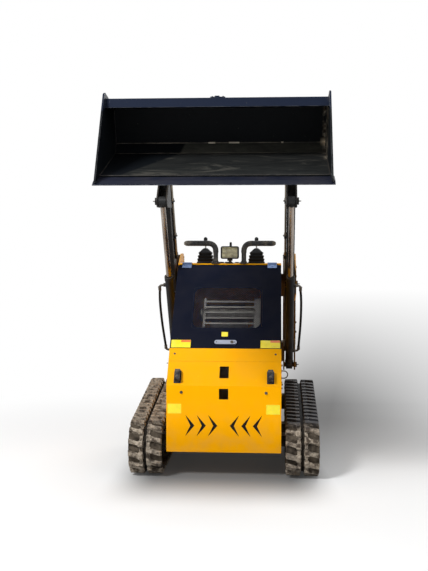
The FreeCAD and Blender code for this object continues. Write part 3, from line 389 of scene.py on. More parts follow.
def track_rubber(name):
    """The bars: black rubber, pale where dried mud has settled on their crests."""
    f = Finish(name)
    mud, clods = muddied(f), f.noise(70, 6, 0.65)
    tone = f.mix(f.patches(40, 0.3, 0.7), srgb(16, 16, 19), srgb(38, 38, 43))
    pale = f.mix(f.band(clods, 0.35, 0.65), srgb(118, 106, 92), srgb(184, 172, 155))
    tone = f.over(tone, f.mix(f.patches(30, 0.47, 0.60, 8), pale, srgb(74, 64, 54)), mud, 0.95)
    edge = f.times(f.edges(0.004), f.patches(30, 0.35, 0.55))
    tone = f.over(tone, srgb(176, 168, 158), edge, f.between(mud, 0.25, 0.4))
    normal = f.bump(f.math("ADD", clods, f.noise(22, 5)), 0.4, 0.0025, f.rounded(0.003))
    return f.close(tone, f.between(mud, 0.6, 0.92), 0.0, normal, 0.3)


def muddy_belt(name):
    """The belt between its bars: packed brown mud, and a dark groove along its middle that keeps less mud; the rubber
    is darker than the bars', as painted shade.
    """
    f = Finish(name)
    mud = muddied(f)
    off_middle = f.math("SUBTRACT", f.math("ABSOLUTE", f.along(SIDEWAYS)), TRACK_X)
    open_row = f.band(f.math("ABSOLUTE", off_middle), 0.010, 0.014)
    packed = f.mix(f.patches(34, 0.36, 0.62, 8), srgb(48, 42, 36), srgb(92, 83, 72))
    # Painted shade: the belt's rubber is darker than the bars', and the groove along the middle keeps less mud so that
    # it stays dark.
    shaded_rubber = f.mix(f.patches(18, 0.4, 0.6), srgb(8, 8, 9), srgb(18, 18, 20))
    tone = f.over(shaded_rubber, packed, mud, f.between(open_row, 0.35, 1.0), 0.95)
    return f.close(tone, f.between(mud, 0.6, 0.95), 0.0, f.bump(f.noise(90, 6), 0.5, 0.003), 0.08)


def moulded(name, colour, rough, texture, depth, wear, rubbed_and_lit_to=None, coat=0.0, shine=0.15, worn_and_lit_past=None):
    """Rubber or plastic with a fine moulded texture, lighter from wear where hands and dust reach, and with lighter
    tips far out to the side: wear and a painted highlight.
    """
    f = Finish(name)
    tone = f.mix(f.patches(8, 0.35, 0.65), shade(colour, 0.85), shade(colour, 1.15))
    rubbed_and_lit = f.times(f.patches(26, 0.48, 0.68, 7), wear)
    # The tips far out to the side are lighter: wear and a painted highlight.
    if worn_and_lit_past:
        tips = f.band(f.math("ABSOLUTE", f.along(SIDEWAYS)), worn_and_lit_past - 0.015, worn_and_lit_past)
        rubbed_and_lit = f.most(rubbed_and_lit, f.times(tips, f.patches(55, 0.3, 0.55)))
    tone = f.mix(rubbed_and_lit, tone, rubbed_and_lit_to or shade(colour, 3.0))
    roughness = f.between(rubbed_and_lit, f.between(f.patches(30, 0.3, 0.7), rough - 0.06, rough + 0.06), rough + 0.15)
    return f.close(tone, roughness, 0.0, f.bump(f.noise(texture, 3), depth, 0.0006), shine, coat)


def printed(name, colour):
    """A blank printed film, scuffed a little."""
    f = Finish(name)
    tone = f.mix(f.patches(30, 0.4, 0.7, 6), colour, shade(colour, 0.9))
    tone = f.over(tone, srgb(210, 200, 170), f.patches(120, 0.62, 0.72), 0.35)
    return f.close(tone, 0.32, 0.0, f.bump(f.noise(300, 2), 0.04, 0.0002), coat=0.3)


def lamp_lens(name):
    """Cream ribbed glass over a bright bowl."""
    f = Finish(name)
    lattice = 1.0
    for scale, axis in ((55.0, "X"), (40.0, "Z")):
        ribs = f.add("ShaderNodeTexWave", {"Vector": f.place, "Scale": scale}, bands_direction=axis)
        lattice = f.times(lattice, f.band(ribs, 0.08, 0.35))
    glow = f.mix(f.patches(30, 0.35, 0.65, 5), srgb(148, 138, 102), srgb(208, 198, 152))
    tone = f.mix(lattice, srgb(64, 57, 34), glow)
    return f.close(tone, 0.18, 0.0, f.bump(lattice, 0.5, 0.001), coat=0.6)


def finishes(paint):
    """Every material of the machine by its short name: its recipe, its full name and its looks."""
    body, hood, black = tuple(paint.body), tuple(paint.hood), tuple(paint.frame)
    recipes = {
        "yellow": (painted, "yellow_paint", body, 0.42, 0.30, srgb(112, 96, 70), 0.14, 0.02, 0.45, 0.03, 0.65),
        "tower": (tower_paint, "tower_paint", body),
        "hood": (painted, "hood_paint", hood, 0.45, 0.30, srgb(88, 92, 100), 0.03, 0.10, 0.0, 0.02),
        "black": (painted, "frame_paint", black, 0.48, 0.45, srgb(104, 90, 76), 0.30, 0.2, 0.9, 0.2),
        "bucket": (bucket_steel, "bucket_steel"),
        # The cutting edge's navy tint: painted reflection of the sky.
        "edge": (painted, "edge_steel", srgb(13, 19, 35), 0.45, 0.8, srgb(130, 132, 134), 0.05, 0.15, 0.0, 0.08),
        "rubber": (track_rubber, "track_rubber"),
        "belt": (muddy_belt, "belt_rubber"),
        "lift_rod": (rod_steel, "lift_rod_chrome", LIFT_BASE, LIFT_WAY, LIFT_EYE_FOOT),
        "tilt_rod": (rod_steel, "tilt_rod_chrome", TILT_BASE, TILT_WAY, TILT_EYE_FOOT),
        "chrome": (bare_steel, "stick_chrome", srgb(186, 184, 180), 0.2, (1, 1, 1), 0.2),
        "tube": (bare_steel, "tube_steel", srgb(150, 142, 128), 0.45, (1, 1, 0.04)),
        "zinc": (bare_steel, "zinc_plate", srgb(110, 128, 162), 0.50, (1, 1, 1), 0.35),
        "latch": (bare_steel, "latch_metal", srgb(150, 155, 170), 0.45, (0.04, 1, 1), 0.15),
        "bolt": (bare_steel, "bolt_zinc", srgb(96, 90, 82), 0.50, (1, 1, 1), 0.45),
        "weld": (painted, "weld_bead", srgb(20, 21, 24), 0.5, 0.9, srgb(92, 88, 82), 0.3, 0.3),
        "foam": (moulded, "grip_foam", srgb(24, 24, 25), 0.6, 260, 0.25, 0.35, srgb(128, 118, 102), 0.0, 0.4, 0.268),
        "boot": (moulded, "boot_rubber", srgb(15, 16, 18), 0.5, 500, 0.1, 0.15),
        "plastic": (moulded, "lamp_case", srgb(26, 24, 21), 0.42, 600, 0.08, 0.3, srgb(96, 86, 66)),
        "knob": (moulded, "knob_plastic", srgb(12, 12, 13), 0.25, 700, 0.03, 0.1, None, 0.4),
        "vinyl": (moulded, "pad_vinyl", srgb(20, 20, 22), 0.48, 340, 0.3, 0.2),
        "hose": (moulded, "hose_rubber", srgb(16, 16, 17), 0.5, 300, 0.2, 0.3, srgb(70, 66, 60)),
        "lens": (lamp_lens, "lamp_glass"),
        "cast": (bare_steel, "cast_alloy", srgb(150, 150, 146), 0.55, (1, 1, 1), 0.4),
        # The cooler's near-white colour is painted light, lifting it against the shade behind the guard.
        "fin": (painted, "cooler_alloy", srgb(248, 243, 230), 0.45, 0.3, srgb(150, 146, 136), 0.05, 0.04, 0.0, 0.5),
        "exhaust": (bare_steel, "exhaust_steel", srgb(176, 172, 160), 0.40, (1, 1, 1), 0.5),
        "guard": (painted, "guard_paint", hood, 0.45, 0.5, srgb(96, 98, 104), 0.1, 0.1, 0.0, 0.05),
        "label": (printed, "label_yellow", srgb(250, 228, 20)),
        "strip": (printed, "label_orange", srgb(236, 104, 24)),
        "stop": (moulded, "stop_rubber", srgb(40, 42, 46), 0.6, 200, 0.3, 0.5, srgb(128, 128, 128)),
        "dial": (printed, "dial_face", srgb(225, 224, 218)),
    }
    return {short: recipe(*look) for short, (recipe, *look) in recipes.items()}


DRESSED = {
    "yellow": ("chassis_tub", "front_plate", "front_strip", "console", "rear_panel"),
    "tower": ("tower",),
    "hood": ("hood_panel",),
    "black": ("track_frame", "sprocket", "operator_platform", "boom_arm", "boom_cross_tube", "attach_plate",
              "lift_barrel", "tilt_barrel", "hood_mesh"),
    "bucket": ("bucket_shell",),
    "edge": ("cutting_edge",),
    "lift_rod": ("lift_rod",),
    "tilt_rod": ("tilt_rod",),
    "zinc": ("hood_hinge",),
    "latch": ("hood_latch",),
    "stop": ("front_stop",),
    "tube": ("boom_lines",),
    "cast": ("engine_block",),
    "rubber": ("track",),
    "foam": ("grip", "joystick", "thigh_pad"),
    "hose": ("lift_hose",),
    "plastic": ("work_lamp", "throttle_lever"),
}

# Mesh pieces


def link(name, data):
    """A new object in the scene."""
    item = bpy.data.objects.new(name, data)
    bpy.context.scene.collection.objects.link(item)
    return item


def smoothed(mesh, angle):
    """Smooth shading but for the edges sharper than an angle in degrees."""
    mesh.shade_smooth()
    mesh.set_sharp_from_angle(angle=math.radians(angle))


SOFTENED_PAST = 0.5
RIPPLE = 0.004


class Shape:
    """Closed bodies gathered into one mesh."""

    def __init__(self):
        self.verts, self.faces, self.marks = [], [], []

    def take(self, bm, finish, soften=0.0, segments=2):
        """Adds a body, its sharp edges softened, in one of the mesh's finishes."""
        if soften:
            bmesh.ops.recalc_face_normals(bm, faces=bm.faces)
            sharp = [e for e in bm.edges if len(e.link_faces) == 2 and e.calc_face_angle() > SOFTENED_PAST]
            settings = {"profile": 0.5, "affect": "EDGES", "clamp_overlap": True}
            bmesh.ops.bevel(bm, geom=sharp, offset=soften, segments=segments, **settings)
        bmesh.ops.recalc_face_normals(bm, faces=bm.faces)
        bm.verts.index_update()
        start = len(self.verts)
        self.verts += [v.co.copy() for v in bm.verts]
        for face in bm.faces:
            self.faces.append([v.index + start for v in face.verts])
            self.marks.append(finish)
        bm.free()

    def skin(self, rings, finish=0, looped=False, soften=0.0, segments=2):
        """A skin over rings of points, joined in a loop or capped; a ring of one point is a tip."""
        bm = bmesh.new()
        rings = [[bm.verts.new(point) for point in ring] for ring in rings]
        for a, b in zip(rings, rings[1:] + rings[:1] if looped else rings[1:]):
            count = max(len(a), len(b))
            for i in range(count):
                j = (i + 1) % count
                bm.faces.new(list(dict.fromkeys((a[i % len(a)], a[j % len(a)], b[j % len(b)], b[i % len(b)]))))
        if not looped:
            for cap in (rings[0], rings[-1]):
                if len(cap) > 1:
                    bm.faces.new(cap)
        self.take(bm, finish, soften, segments)

    def prism(self, corners, run, finish=0, soften=0.0, segments=2):
        """A flat outline drawn out along run."""
        corners = [Vector(c) for c in corners]
        self.skin([corners, [c + run for c in corners]], finish, False, soften, segments)

    def block(self, low, high, finish=0, soften=0.0015, segments=2):
        (x0, y0, z0), (x1, y1, z1) = low, high
        corners = [(x0, y0, z0), (x1, y0, z0), (x1, y1, z0), (x0, y1, z0)]
        self.prism(corners, UP * (z1 - z0), finish, soften, segments)

    def slab(self, middle, along, half_x, half_along, thick, out, finish=0, corner=0.004, soften=0.0003):
        """A thin round-cornered plate lying on a sloping face."""
        outline = rounded_outline(half_x, half_along, corner, 5)
        self.prism([middle + SIDEWAYS * a + along * b for a, b in outline], out * thick, finish, soften, 1)

    def lathe(self, foot, axis, profile, finish=0, sides=32):
        """A turned body: (along, radius) steps from foot; it starts and ends on the axis."""
        axis, u, v = upright(axis)
        rings = [[foot + axis * profile[0][0]]]
        for along, radius in profile:
            rings.append([foot + axis * along + (u * c + v * s) * radius for c, s in circle(sides)])
        self.skin(rings + [[foot + axis * profile[-1][0]]], finish)

    def ring(self, foot, axis, profile, finish, sides=36):
        """A closed ring turned about an axis from (along, radius) corners."""
        axis, u, v = upright(axis)
        self.skin([[foot + axis * a + (u * c + v * s) * r for a, r in profile] for c, s in circle(sides)], finish, True)

    def sweep(self, path, radius, finish=0, sides=12):
        """A tube through close points; radius is a number or one per point."""
        radii = radius if isinstance(radius, list) else [radius] * len(path)
        tangents = [way(before, after) for before, after in zip(path[:1] + path[:-1], path[1:] + path[-1:])]
        u = tangents[0].orthogonal().normalized()
        rings = []
        for point, tangent, r in zip(path, tangents, radii):
            u = (u - tangent * u.dot(tangent)).normalized()
            v = tangent.cross(u)
            rings.append([point + (u * c + v * s) * r for c, s in circle(sides)])
        self.skin(rings, finish)

    def weld(self, start, end, radius=0.0035):
        """A rippled bead of weld between two points."""
        count = max(6, int((end - start).length / RIPPLE))
        path = [start.lerp(end, i / count) for i in range(count + 1)]
        radii = [radius * (0.82 + 0.18 * math.sin(i * 2.1) + 0.06 * math.sin(i * 0.7)) for i in range(count + 1)]
        self.sweep(path, radii, 0, 6)

    def nipple(self, foot, out):
        """A grease nipple."""
        steps = ((-0.001, 0.0045), (0.003, 0.0045), (0.0035, 0.0028), (0.008, 0.0024), (0.010, 0.0032), (0.013, 0.0026))
        self.lathe(foot, out, steps, 0, 14)

    def make(self, name, body, *kinds, smooth=35, slot=None):
        """The finished object in its finishes, riding on its body."""
        mesh = bpy.data.meshes.new(name)
        mesh.from_pydata(self.verts, [], self.faces)
        for kind in kinds:
            mesh.materials.append(FINISH[kind])
        mesh.polygons.foreach_set("material_index", self.marks)
        smoothed(mesh, smooth)
        piece = link(name, mesh)
        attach(piece, body)
        return piece

    def pattern(self):
        """The shape as an object for a tree to repeat, removed after use."""
        mesh = bpy.data.meshes.new("pattern")
        mesh.from_pydata(self.verts, [], self.faces)
        return link("pattern", mesh)

    def repeat(self, name, points, forward, facing, kind):
        """Copies of the shape at points on the chassis, turned along two directions each."""
        pattern = self.pattern()
        axes = {"forward": forward, "facing": [facing] * len(points)}
        grown(name, "repeats", points, {"Pattern": pattern}, "chassis", kind, axes)
        bpy.data.objects.remove(pattern)


def upright(axis):
    """An axis of length one with two directions square to it."""
    axis = Vector(axis).normalized()
    u = axis.orthogonal().normalized()
    return axis, u, axis.cross(u)


def rounded_outline(half_a, half_b, corner, steps):
    """Points round a rectangle with round corners, anticlockwise."""
    points = []
    for turn, sign_a, sign_b in ((0, 1, 1), (1, -1, 1), (2, -1, -1), (3, 1, -1)):
        for i in range(steps + 1):
            t = math.pi / 2 * (turn + i / steps)
            a = sign_a * (half_a - corner) + corner * math.cos(t)
            points.append((a, sign_b * (half_b - corner) + corner * math.sin(t)))
    return points


def rounded_path(points, bend, steps=8):
    """A line through points with its corners rounded."""
    path = [points[0]]
    for before, corner, after in zip(points, points[1:], points[2:]):
        start, end = corner + way(corner, before) * bend, corner + way(corner, after) * bend
        for i in range(steps + 1):
            t = i / steps
            path.append(start.lerp(corner, t).lerp(corner.lerp(end, t), t))
    return path + [points[-1]]


# Geometry Nodes


class Growth(Wires):
    """A Geometry Nodes tree in the making, with named inputs."""

    def __init__(self, name, sizes):
        super().__init__(bpy.data.node_groups.new(name, "GeometryNodeTree"))
        self.socket("Geometry", "Geometry")
        for label, value in sizes.items():
            self.socket(label, "Int" if isinstance(value, int) else "Float").default_value = value
        self.socket("Pattern", "Object")
        self.socket("Material", "Material")
        self.socket("Geometry", "Geometry", "OUTPUT")
        self.given = self.tree.nodes.new("NodeGroupInput").outputs

    def socket(self, label, kind, way_in="INPUT"):
        return self.tree.interface.new_socket(label, in_out=way_in, socket_type="NodeSocket" + kind)

    def combine(self, **parts):
        return self.add("ShaderNodeCombineXYZ", parts)

    def pattern(self):
        return self.add("GeometryNodeObjectInfo", {"Object": self.given["Pattern"]}, out="Geometry")

    def attribute(self, name):
        return self.add("GeometryNodeInputNamedAttribute", {"Name": name}, data_type="FLOAT_VECTOR")

    def turn(self, primary, along, secondary, facing):
        """The turn that lays one axis along a direction and a second one towards another."""
        inputs = {"Primary Axis": along, "Secondary Axis": facing}
        return self.add("FunctionNodeAxesToRotation", inputs, primary_axis=primary, secondary_axis=secondary)

    def join(self, *meshes):
        parts = self.tree.nodes.new("GeometryNodeJoinGeometry")
        for mesh in meshes:
            self.tree.links.new(mesh, parts.inputs[0])
        return parts.outputs[0]

    def instances(self, points, instance, rotation):
        inputs = {"Points": points, "Instance": instance, "Rotation": rotation}
        return self.finish(self.add("GeometryNodeInstanceOnPoints", inputs))

    def finish(self, geometry):
        """Ends the tree in real geometry with its material."""
        real = self.add("GeometryNodeRealizeInstances", {"Geometry": geometry})
        coated = self.add("GeometryNodeSetMaterial", {"Geometry": real, "Material": self.given["Material"]})
        self.add("NodeGroupOutput", {0: coated}, out=None)
        return self.tree


def grown(name, tree, points, values, body, kind, attributes=None, edges=()):
    """Runs a tree on points and keeps its result as a plain mesh on a body."""
    seed = bpy.data.meshes.new(name + "_seed")
    seed.from_pydata([Vector(p) for p in points], list(edges), [])
    for label, rows in (attributes or {}).items():
        layer = seed.attributes.new(label, "FLOAT_VECTOR", "POINT")
        layer.data.foreach_set("vector", [c for row in rows for c in row])
    piece = link(name, seed)
    modifier = piece.modifiers.new("growth", "NODES")
    modifier.node_group = TREES[tree]
    values = dict(values, Material=FINISH[kind])
    for item in TREES[tree].interface.items_tree:
        if item.in_out == "INPUT" and item.name in values:
            modifier[item.identifier] = values[item.name]
    bpy.context.view_layer.update()
    depsgraph = bpy.context.evaluated_depsgraph_get()
    mesh = bpy.data.meshes.new_from_object(piece.evaluated_get(depsgraph), depsgraph=depsgraph)
    piece.modifiers.clear()
    piece.data = mesh
    mesh.name = name
    bpy.data.meshes.remove(seed)
    smoothed(mesh, 35)
    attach(piece, body)
    return piece


def fastener_tree():
    """Hexagonal heads on washers, each turned at random about its own axis."""
    g = Growth("fasteners", {"Across": 0.013, "Height": 0.006, "Washer": 0.0015, "Seed": 7})
    across, height, washer = g.given["Across"], g.given["Height"], g.given["Washer"]
    radius = g.times(across, 0.57735)
    head = g.add("GeometryNodeMeshCylinder", {"Vertices": 6, "Radius": radius, "Depth": height})
    cone = {"Vertices": 6, "Radius Bottom": radius, "Radius Top": g.times(radius, 0.82), "Depth": g.times(height, 0.2)}
    top = g.add("GeometryNodeMeshCone", cone)
    disc = g.add("GeometryNodeMeshCylinder", {"Vertices": 20, "Radius": g.times(across, 0.82), "Depth": washer})
    levels = (
        (head, g.math("ADD", g.times(height, 0.5), washer)),
        (top, g.math("ADD", height, washer)),
        (disc, g.times(washer, 0.5)),
    )
    lifted = [g.add("GeometryNodeTransform", {"Geometry": m, "Translation": g.combine(Z=z)}) for m, z in levels]
    turn = g.add("FunctionNodeAlignRotationToVector", {"Vector": g.attribute("facing")}, axis="Z")
    spin = g.add("FunctionNodeRandomValue", {2: 0.0, 3: 1.047, "Seed": g.given["Seed"]}, out=1, data_type="FLOAT")
    about = g.add("FunctionNodeEulerToRotation", {0: g.combine(Z=spin)})
    turned = g.add("FunctionNodeRotateRotation", {"Rotation": turn, "Rotate By": about}, rotation_space="LOCAL")
    return g.instances(g.given["Geometry"], g.join(*lifted), turned)


def repeat_tree():
    """A pattern set on every point, its own Y and Z turned along two stored directions."""
    g = Growth("repeats", {})
    turn = g.turn("Y", g.attribute("forward"), "Z", g.attribute("facing"))
    return g.instances(g.given["Geometry"], g.pattern(), turn)


def tread_tree():
    """Bars spaced evenly along a closed path, square to it and to the machine's side."""
    g = Growth("tread", {"Bars": 44})
    curve = g.add("GeometryNodeMeshToCurve", {"Mesh": g.given["Geometry"]})
    even = g.add("GeometryNodeResampleCurve", {"Curve": curve, "Count": g.given["Bars"]})
    row = g.tree.nodes.new("GeometryNodeCurveToPoints")
    row.mode = "EVALUATED"
    g.tree.links.new(even, row.inputs["Curve"])
    turn = g.turn("Y", row.outputs["Tangent"], "X", (-1.0, 0.0, 0.0))
    return g.instances(row.outputs["Points"], g.pattern(), turn)


HEX_RISE = 0.8660254


def guard_tree():
    """A perforated sheet: staggered cells welded together and given a thickness."""
    g = Growth("perforations", {"Columns": 46, "Rows": 44, "Pitch": 0.009, "Thickness": 0.002})
    pitch, columns, rows = g.given["Pitch"], g.given["Columns"], g.given["Rows"]
    sizes = {
        "Size X": g.times(pitch, g.math("SUBTRACT", columns, 1)),
        "Size Y": g.times(pitch, HEX_RISE, g.math("SUBTRACT", rows, 1)),
        "Vertices X": columns,
        "Vertices Y": rows,
    }
    row = g.math("FLOORED_MODULO", g.add("GeometryNodeInputIndex"), rows)
    odd = g.times(g.math("FLOORED_MODULO", row, 2.0), pitch, 0.5)
    grid = g.add("GeometryNodeMeshGrid", sizes)
    grid = g.add("GeometryNodeSetPosition", {"Geometry": grid, "Offset": g.combine(X=odd)})
    scale = g.combine(X=pitch, Y=pitch, Z=pitch)
    cells = g.add("GeometryNodeInstanceOnPoints", {"Points": grid, "Instance": g.pattern(), "Scale": scale})
    sheet = g.add("GeometryNodeRealizeInstances", {"Geometry": cells})
    sheet = g.add("GeometryNodeMergeByDistance", {"Geometry": sheet, "Distance": 0.00005})
    wall = g.add("GeometryNodeExtrudeMesh", {"Mesh": sheet, "Offset Scale": g.given["Thickness"], "Individual": False})
    both = g.join(wall, g.add("GeometryNodeFlipFaces", {"Mesh": sheet}))
    closed = g.add("GeometryNodeMergeByDistance", {"Geometry": both, "Distance": 0.00002})
    turn = g.turn("Y", tuple(HOOD_WAY), "Z", tuple(HOOD_OUT))
    middle = on_hood(-0.00225, WINDOW_MIDDLE, -0.0034)
    placed = {"Geometry": closed, "Translation": tuple(middle), "Rotation": turn}
    return g.finish(g.add("GeometryNodeTransform", placed))


def bolts(name, body, places, across=0.010, height=0.005, washer=0.0012, kind="bolt"):
    """Hexagonal heads at (place, facing) pairs, on one body."""
    values = {"Across": across, "Height": height, "Washer": washer}
    facing = [tuple(Vector(f).normalized()) for _, f in places]
    grown(name, "fasteners", [p for p, _ in places], values, body, kind, attributes={"facing": facing})


# Track


def belt_path(radii_less, steps=48):
    """Points and outward normals round the track's three wheels, each wheel's radius less some."""
    circles = [(at(y, z), r / 1000 - radii_less) for y, z, r in ((154, 154, 154), (835, 118, 118), (940, 276, 140))]
    tangents = []
    for (a, ra), (b, rb) in zip(circles, circles[1:] + circles[:1]):
        run = way(a, b)
        lean = (ra - rb) / (b - a).length
        tangents.append(run.cross(SIDEWAYS) * math.sqrt(1 - lean * lean) + run * lean)
    found = []
    for i, (centre, radius) in enumerate(circles):
        start, end = (math.atan2(t.z, t.y) for t in (tangents[i - 1], tangents[i]))
        if end < start:
            end += math.tau
        for k in range(steps + 1):
            t = start + (end - start) * k / steps
            normal = Vector((0, math.cos(t), math.sin(t)))
            found.append((centre + normal * radius, normal))
    return found


BAR_OUTLINE = ((9, 18), (32, 18), (38, 14), (60, 21), (89, 28), (89, 4), (60, -2), (35, -9), (32, -17), (9, -17))
STEP_OUTLINE = ((11, 46), (28, 46), (29, 16), (10, 16))
BELT_SINK = 0.0016
SMALL_WHEEL = 118


def tread_bar(turn, depth):
    """One row's rubber bar, a block with a slanted arm, and its low step; the crest falls away to clear a wheel."""
    bar = Shape()
    for outline, levels in (
        (BAR_OUTLINE, ((1.06, -0.004), (1.0, depth * 0.6), (0.90, depth))),
        (STEP_OUTLINE, ((1.0, -0.004), (1.0, depth * 0.30), (0.86, depth * 0.42))),
    ):
        middle = sum((Vector(p) for p in outline), Vector((0, 0))) / len(outline)
        rings = []
        for share, height in levels:
            spread = [middle + (Vector(corner) - middle) * share for corner in outline]
            falls = [p.y * p.y / SMALL_WHEEL / 2000 if height > 0 else 0.0 for p in spread]
            rings.append([(-p.x * turn / 1000, p.y * turn / 1000, height - fall) for p, fall in zip(spread, falls)])
        bar.skin(rings)
    return bar


def even_loop(points, bars, shift):
    """A closed line's points begun a share of one bar's spacing along it."""
    steps = list(zip(points, points[1:] + points[:1]))
    remaining = sum((b - a).length for a, b in steps) / bars * shift
    for i, (a, b) in enumerate(steps if shift else ()):
        step = (b - a).length
        if remaining < step:
            return [a.lerp(b, remaining / step)] + points[i + 1:] + points[:i + 1]
        remaining -= step
    return points


class LOADER_OT_tracks(bpy.types.Operator):
    """Rubber tracks with two rows of bars on a moulded belt"""

    bl_idname = "loader.tracks"
    bl_label = "Tracks"

    def execute(self, context):
        sizes = context.scene.loader_track
        for side, _ in SIDES:
            low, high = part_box("track_" + side)
            x0, x1 = low.x, high.x
            middle = (x0 + x1) / 2
            outer = belt_path(sizes.bar_height + BELT_SINK)
            section = [(x0 + 0.004, 0.0), (x0, -0.005), (x0, -0.0195), (x1, -0.0195), (x1, -0.005), (x1 - 0.004, 0.0)]
            section += [(middle + x, z) for x, z in ((0.008, 0.0), (0.006, -0.004), (-0.006, -0.004), (-0.008, 0.0))]
            shape = Shape()
            shape.skin([[p + n * h + SIDEWAYS * x for x, h in section] for p, n in outer], 0, True)
            belt = shape.make("track_belt_" + side, "chassis", "belt", slot="track_rubber")
            points = [p + SIDEWAYS * middle for p, _ in outer]
            for row, turn, shift in (("left", 1, 0.0), ("right", -1, 0.5)):
                pattern = tread_bar(turn, sizes.bar_height).pattern()
                path = even_loop(points, sizes.bars, shift)
                loop = [(i, (i + 1) % len(path)) for i in range(len(path))]
                values = {"Bars": sizes.bars, "Pattern": pattern}
                name = f"track_bars_{row}_{side}"
                grown(name, "tread", path, values, "chassis", "rubber", edges=loop)
                bpy.data.objects.remove(pattern)
            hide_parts("track_" + side)
        return {"FINISHED"}


class LOADER_OT_wheels(bpy.types.Operator):
    """Hub caps and bolts of the idlers, rollers and drive wheels"""

    bl_idname = "loader.wheels"
    bl_label = "Wheels"

    def execute(self, context):
        hubs = [(at(154, 154), 0.052, 0.062), (at(835, 118), 0.040, 0.062)]
        hubs += [(at(y, 86.3), 0.022, 0.052) for y in (330, 500, 670)]
        dish = ((-0.002, 1), (0.006, 1), (0.009, 0.86), (0.009, 0.55), (0.014, 0.48), (0.014, 0.2), (0.012, 0.16))
        for side, sign in SIDES:
            middle = SIDEWAYS * sign * TRACK_X
            shape = Shape()
            places = []
            for centre, radius, reach in hubs:
                for out in (SIDEWAYS, -SIDEWAYS):
                    foot = centre + middle + out * reach
                    shape.lathe(foot, out, [(along, radius * share) for along, share in dish], 0, 28)
                    if radius > 0.03:
                        places += [(place, out) for place in wheel_round(foot + out * 0.0088, radius * 0.72, 6)]
            out = SIDEWAYS * sign
            foot = SPROCKET + middle + out * 0.022
            shape.lathe(foot, out, ((0, 0.072), (0.008, 0.072), (0.011, 0.066), (0.011, 0.0505)), 0, 40)
            places += [(place, out) for place in wheel_round(foot + out * 0.0108, 0.0605, 9)]
            cap = ((-0.002, 0.046), (0.006, 0.046), (0.009, 0.042), (0.011, 0.018), (0.013, 0.012))
            shape.lathe(foot + out * 0.018, out, cap)
            shape.make("wheel_hubs_" + side, "chassis", "black", slot="black_paint")
            bolts("wheel_bolts_" + side, "chassis", places, washer=0.001)
        return {"FINISHED"}


# Hull


class LOADER_OT_nose(bpy.types.Operator):
    """Blank plates, strip screws, stop bolts and a dark sheet just behind the nose's face as painted shade"""

    bl_idname = "loader.nose"
    bl_label = "Nose"

    def execute(self, context):
        out = -BACKWARDS
        screws, pads, places = Shape(), Shape(), []
        for side, sign in SIDES:
            shape = Shape()
            shape.slab(on_nose(sign * 0.266, 0.378), UP, 0.037, 0.0265, 0.0006, out, 0, 0.003)
            shape.make("nose_label_" + side, "chassis", "label")
            bolts("nose_bolt_" + side, "chassis", [(on_nose(sign * 0.2285, 0.467), out)], 0.010, 0.0055, 0.001)
            foot = on_lean(sign * 0.2785, 0.206)
            screws.lathe(foot, LEAN_OUT, ((-0.001, 0.006), (0.0012, 0.0058), (0.0026, 0.0040), (0.0028, 0.0022)), 0, 24)
            screws.lathe(foot + LEAN_OUT * 0.0027, LEAN_OUT, ((0, 0.0021), (0.0004, 0.0021)), 1, 6)
            for along, proud in ((0.036, 0.0385), (0.070, 0.03442)):
                places.append((on_lean(sign * 0.252, along, proud), LEAN_OUT))
            pads.slab(on_lean(sign * 0.252, 0.0546), LEAN_WAY, 0.0195, 0.040, 0.003, LEAN_OUT, 0, 0.003, 0.0006)
        # A dark sheet just behind the nose's face: painted shade.
        shade_sheet = Shape()
        shade_sheet.block(on_nose(-0.235, 0.225) - out * 0.0075, on_nose(0.235, 0.395) - out * 0.0095, 0, 0)
        shade_sheet.make("nose_liner", "chassis", "boot")
        screws.make("strip_screws", "chassis", "bolt", "knob")
        pads.make("stop_base_plates", "chassis", "stop")
        bolts("stop_bolts", "chassis", places, 0.011, 0.004)
        return {"FINISHED"}


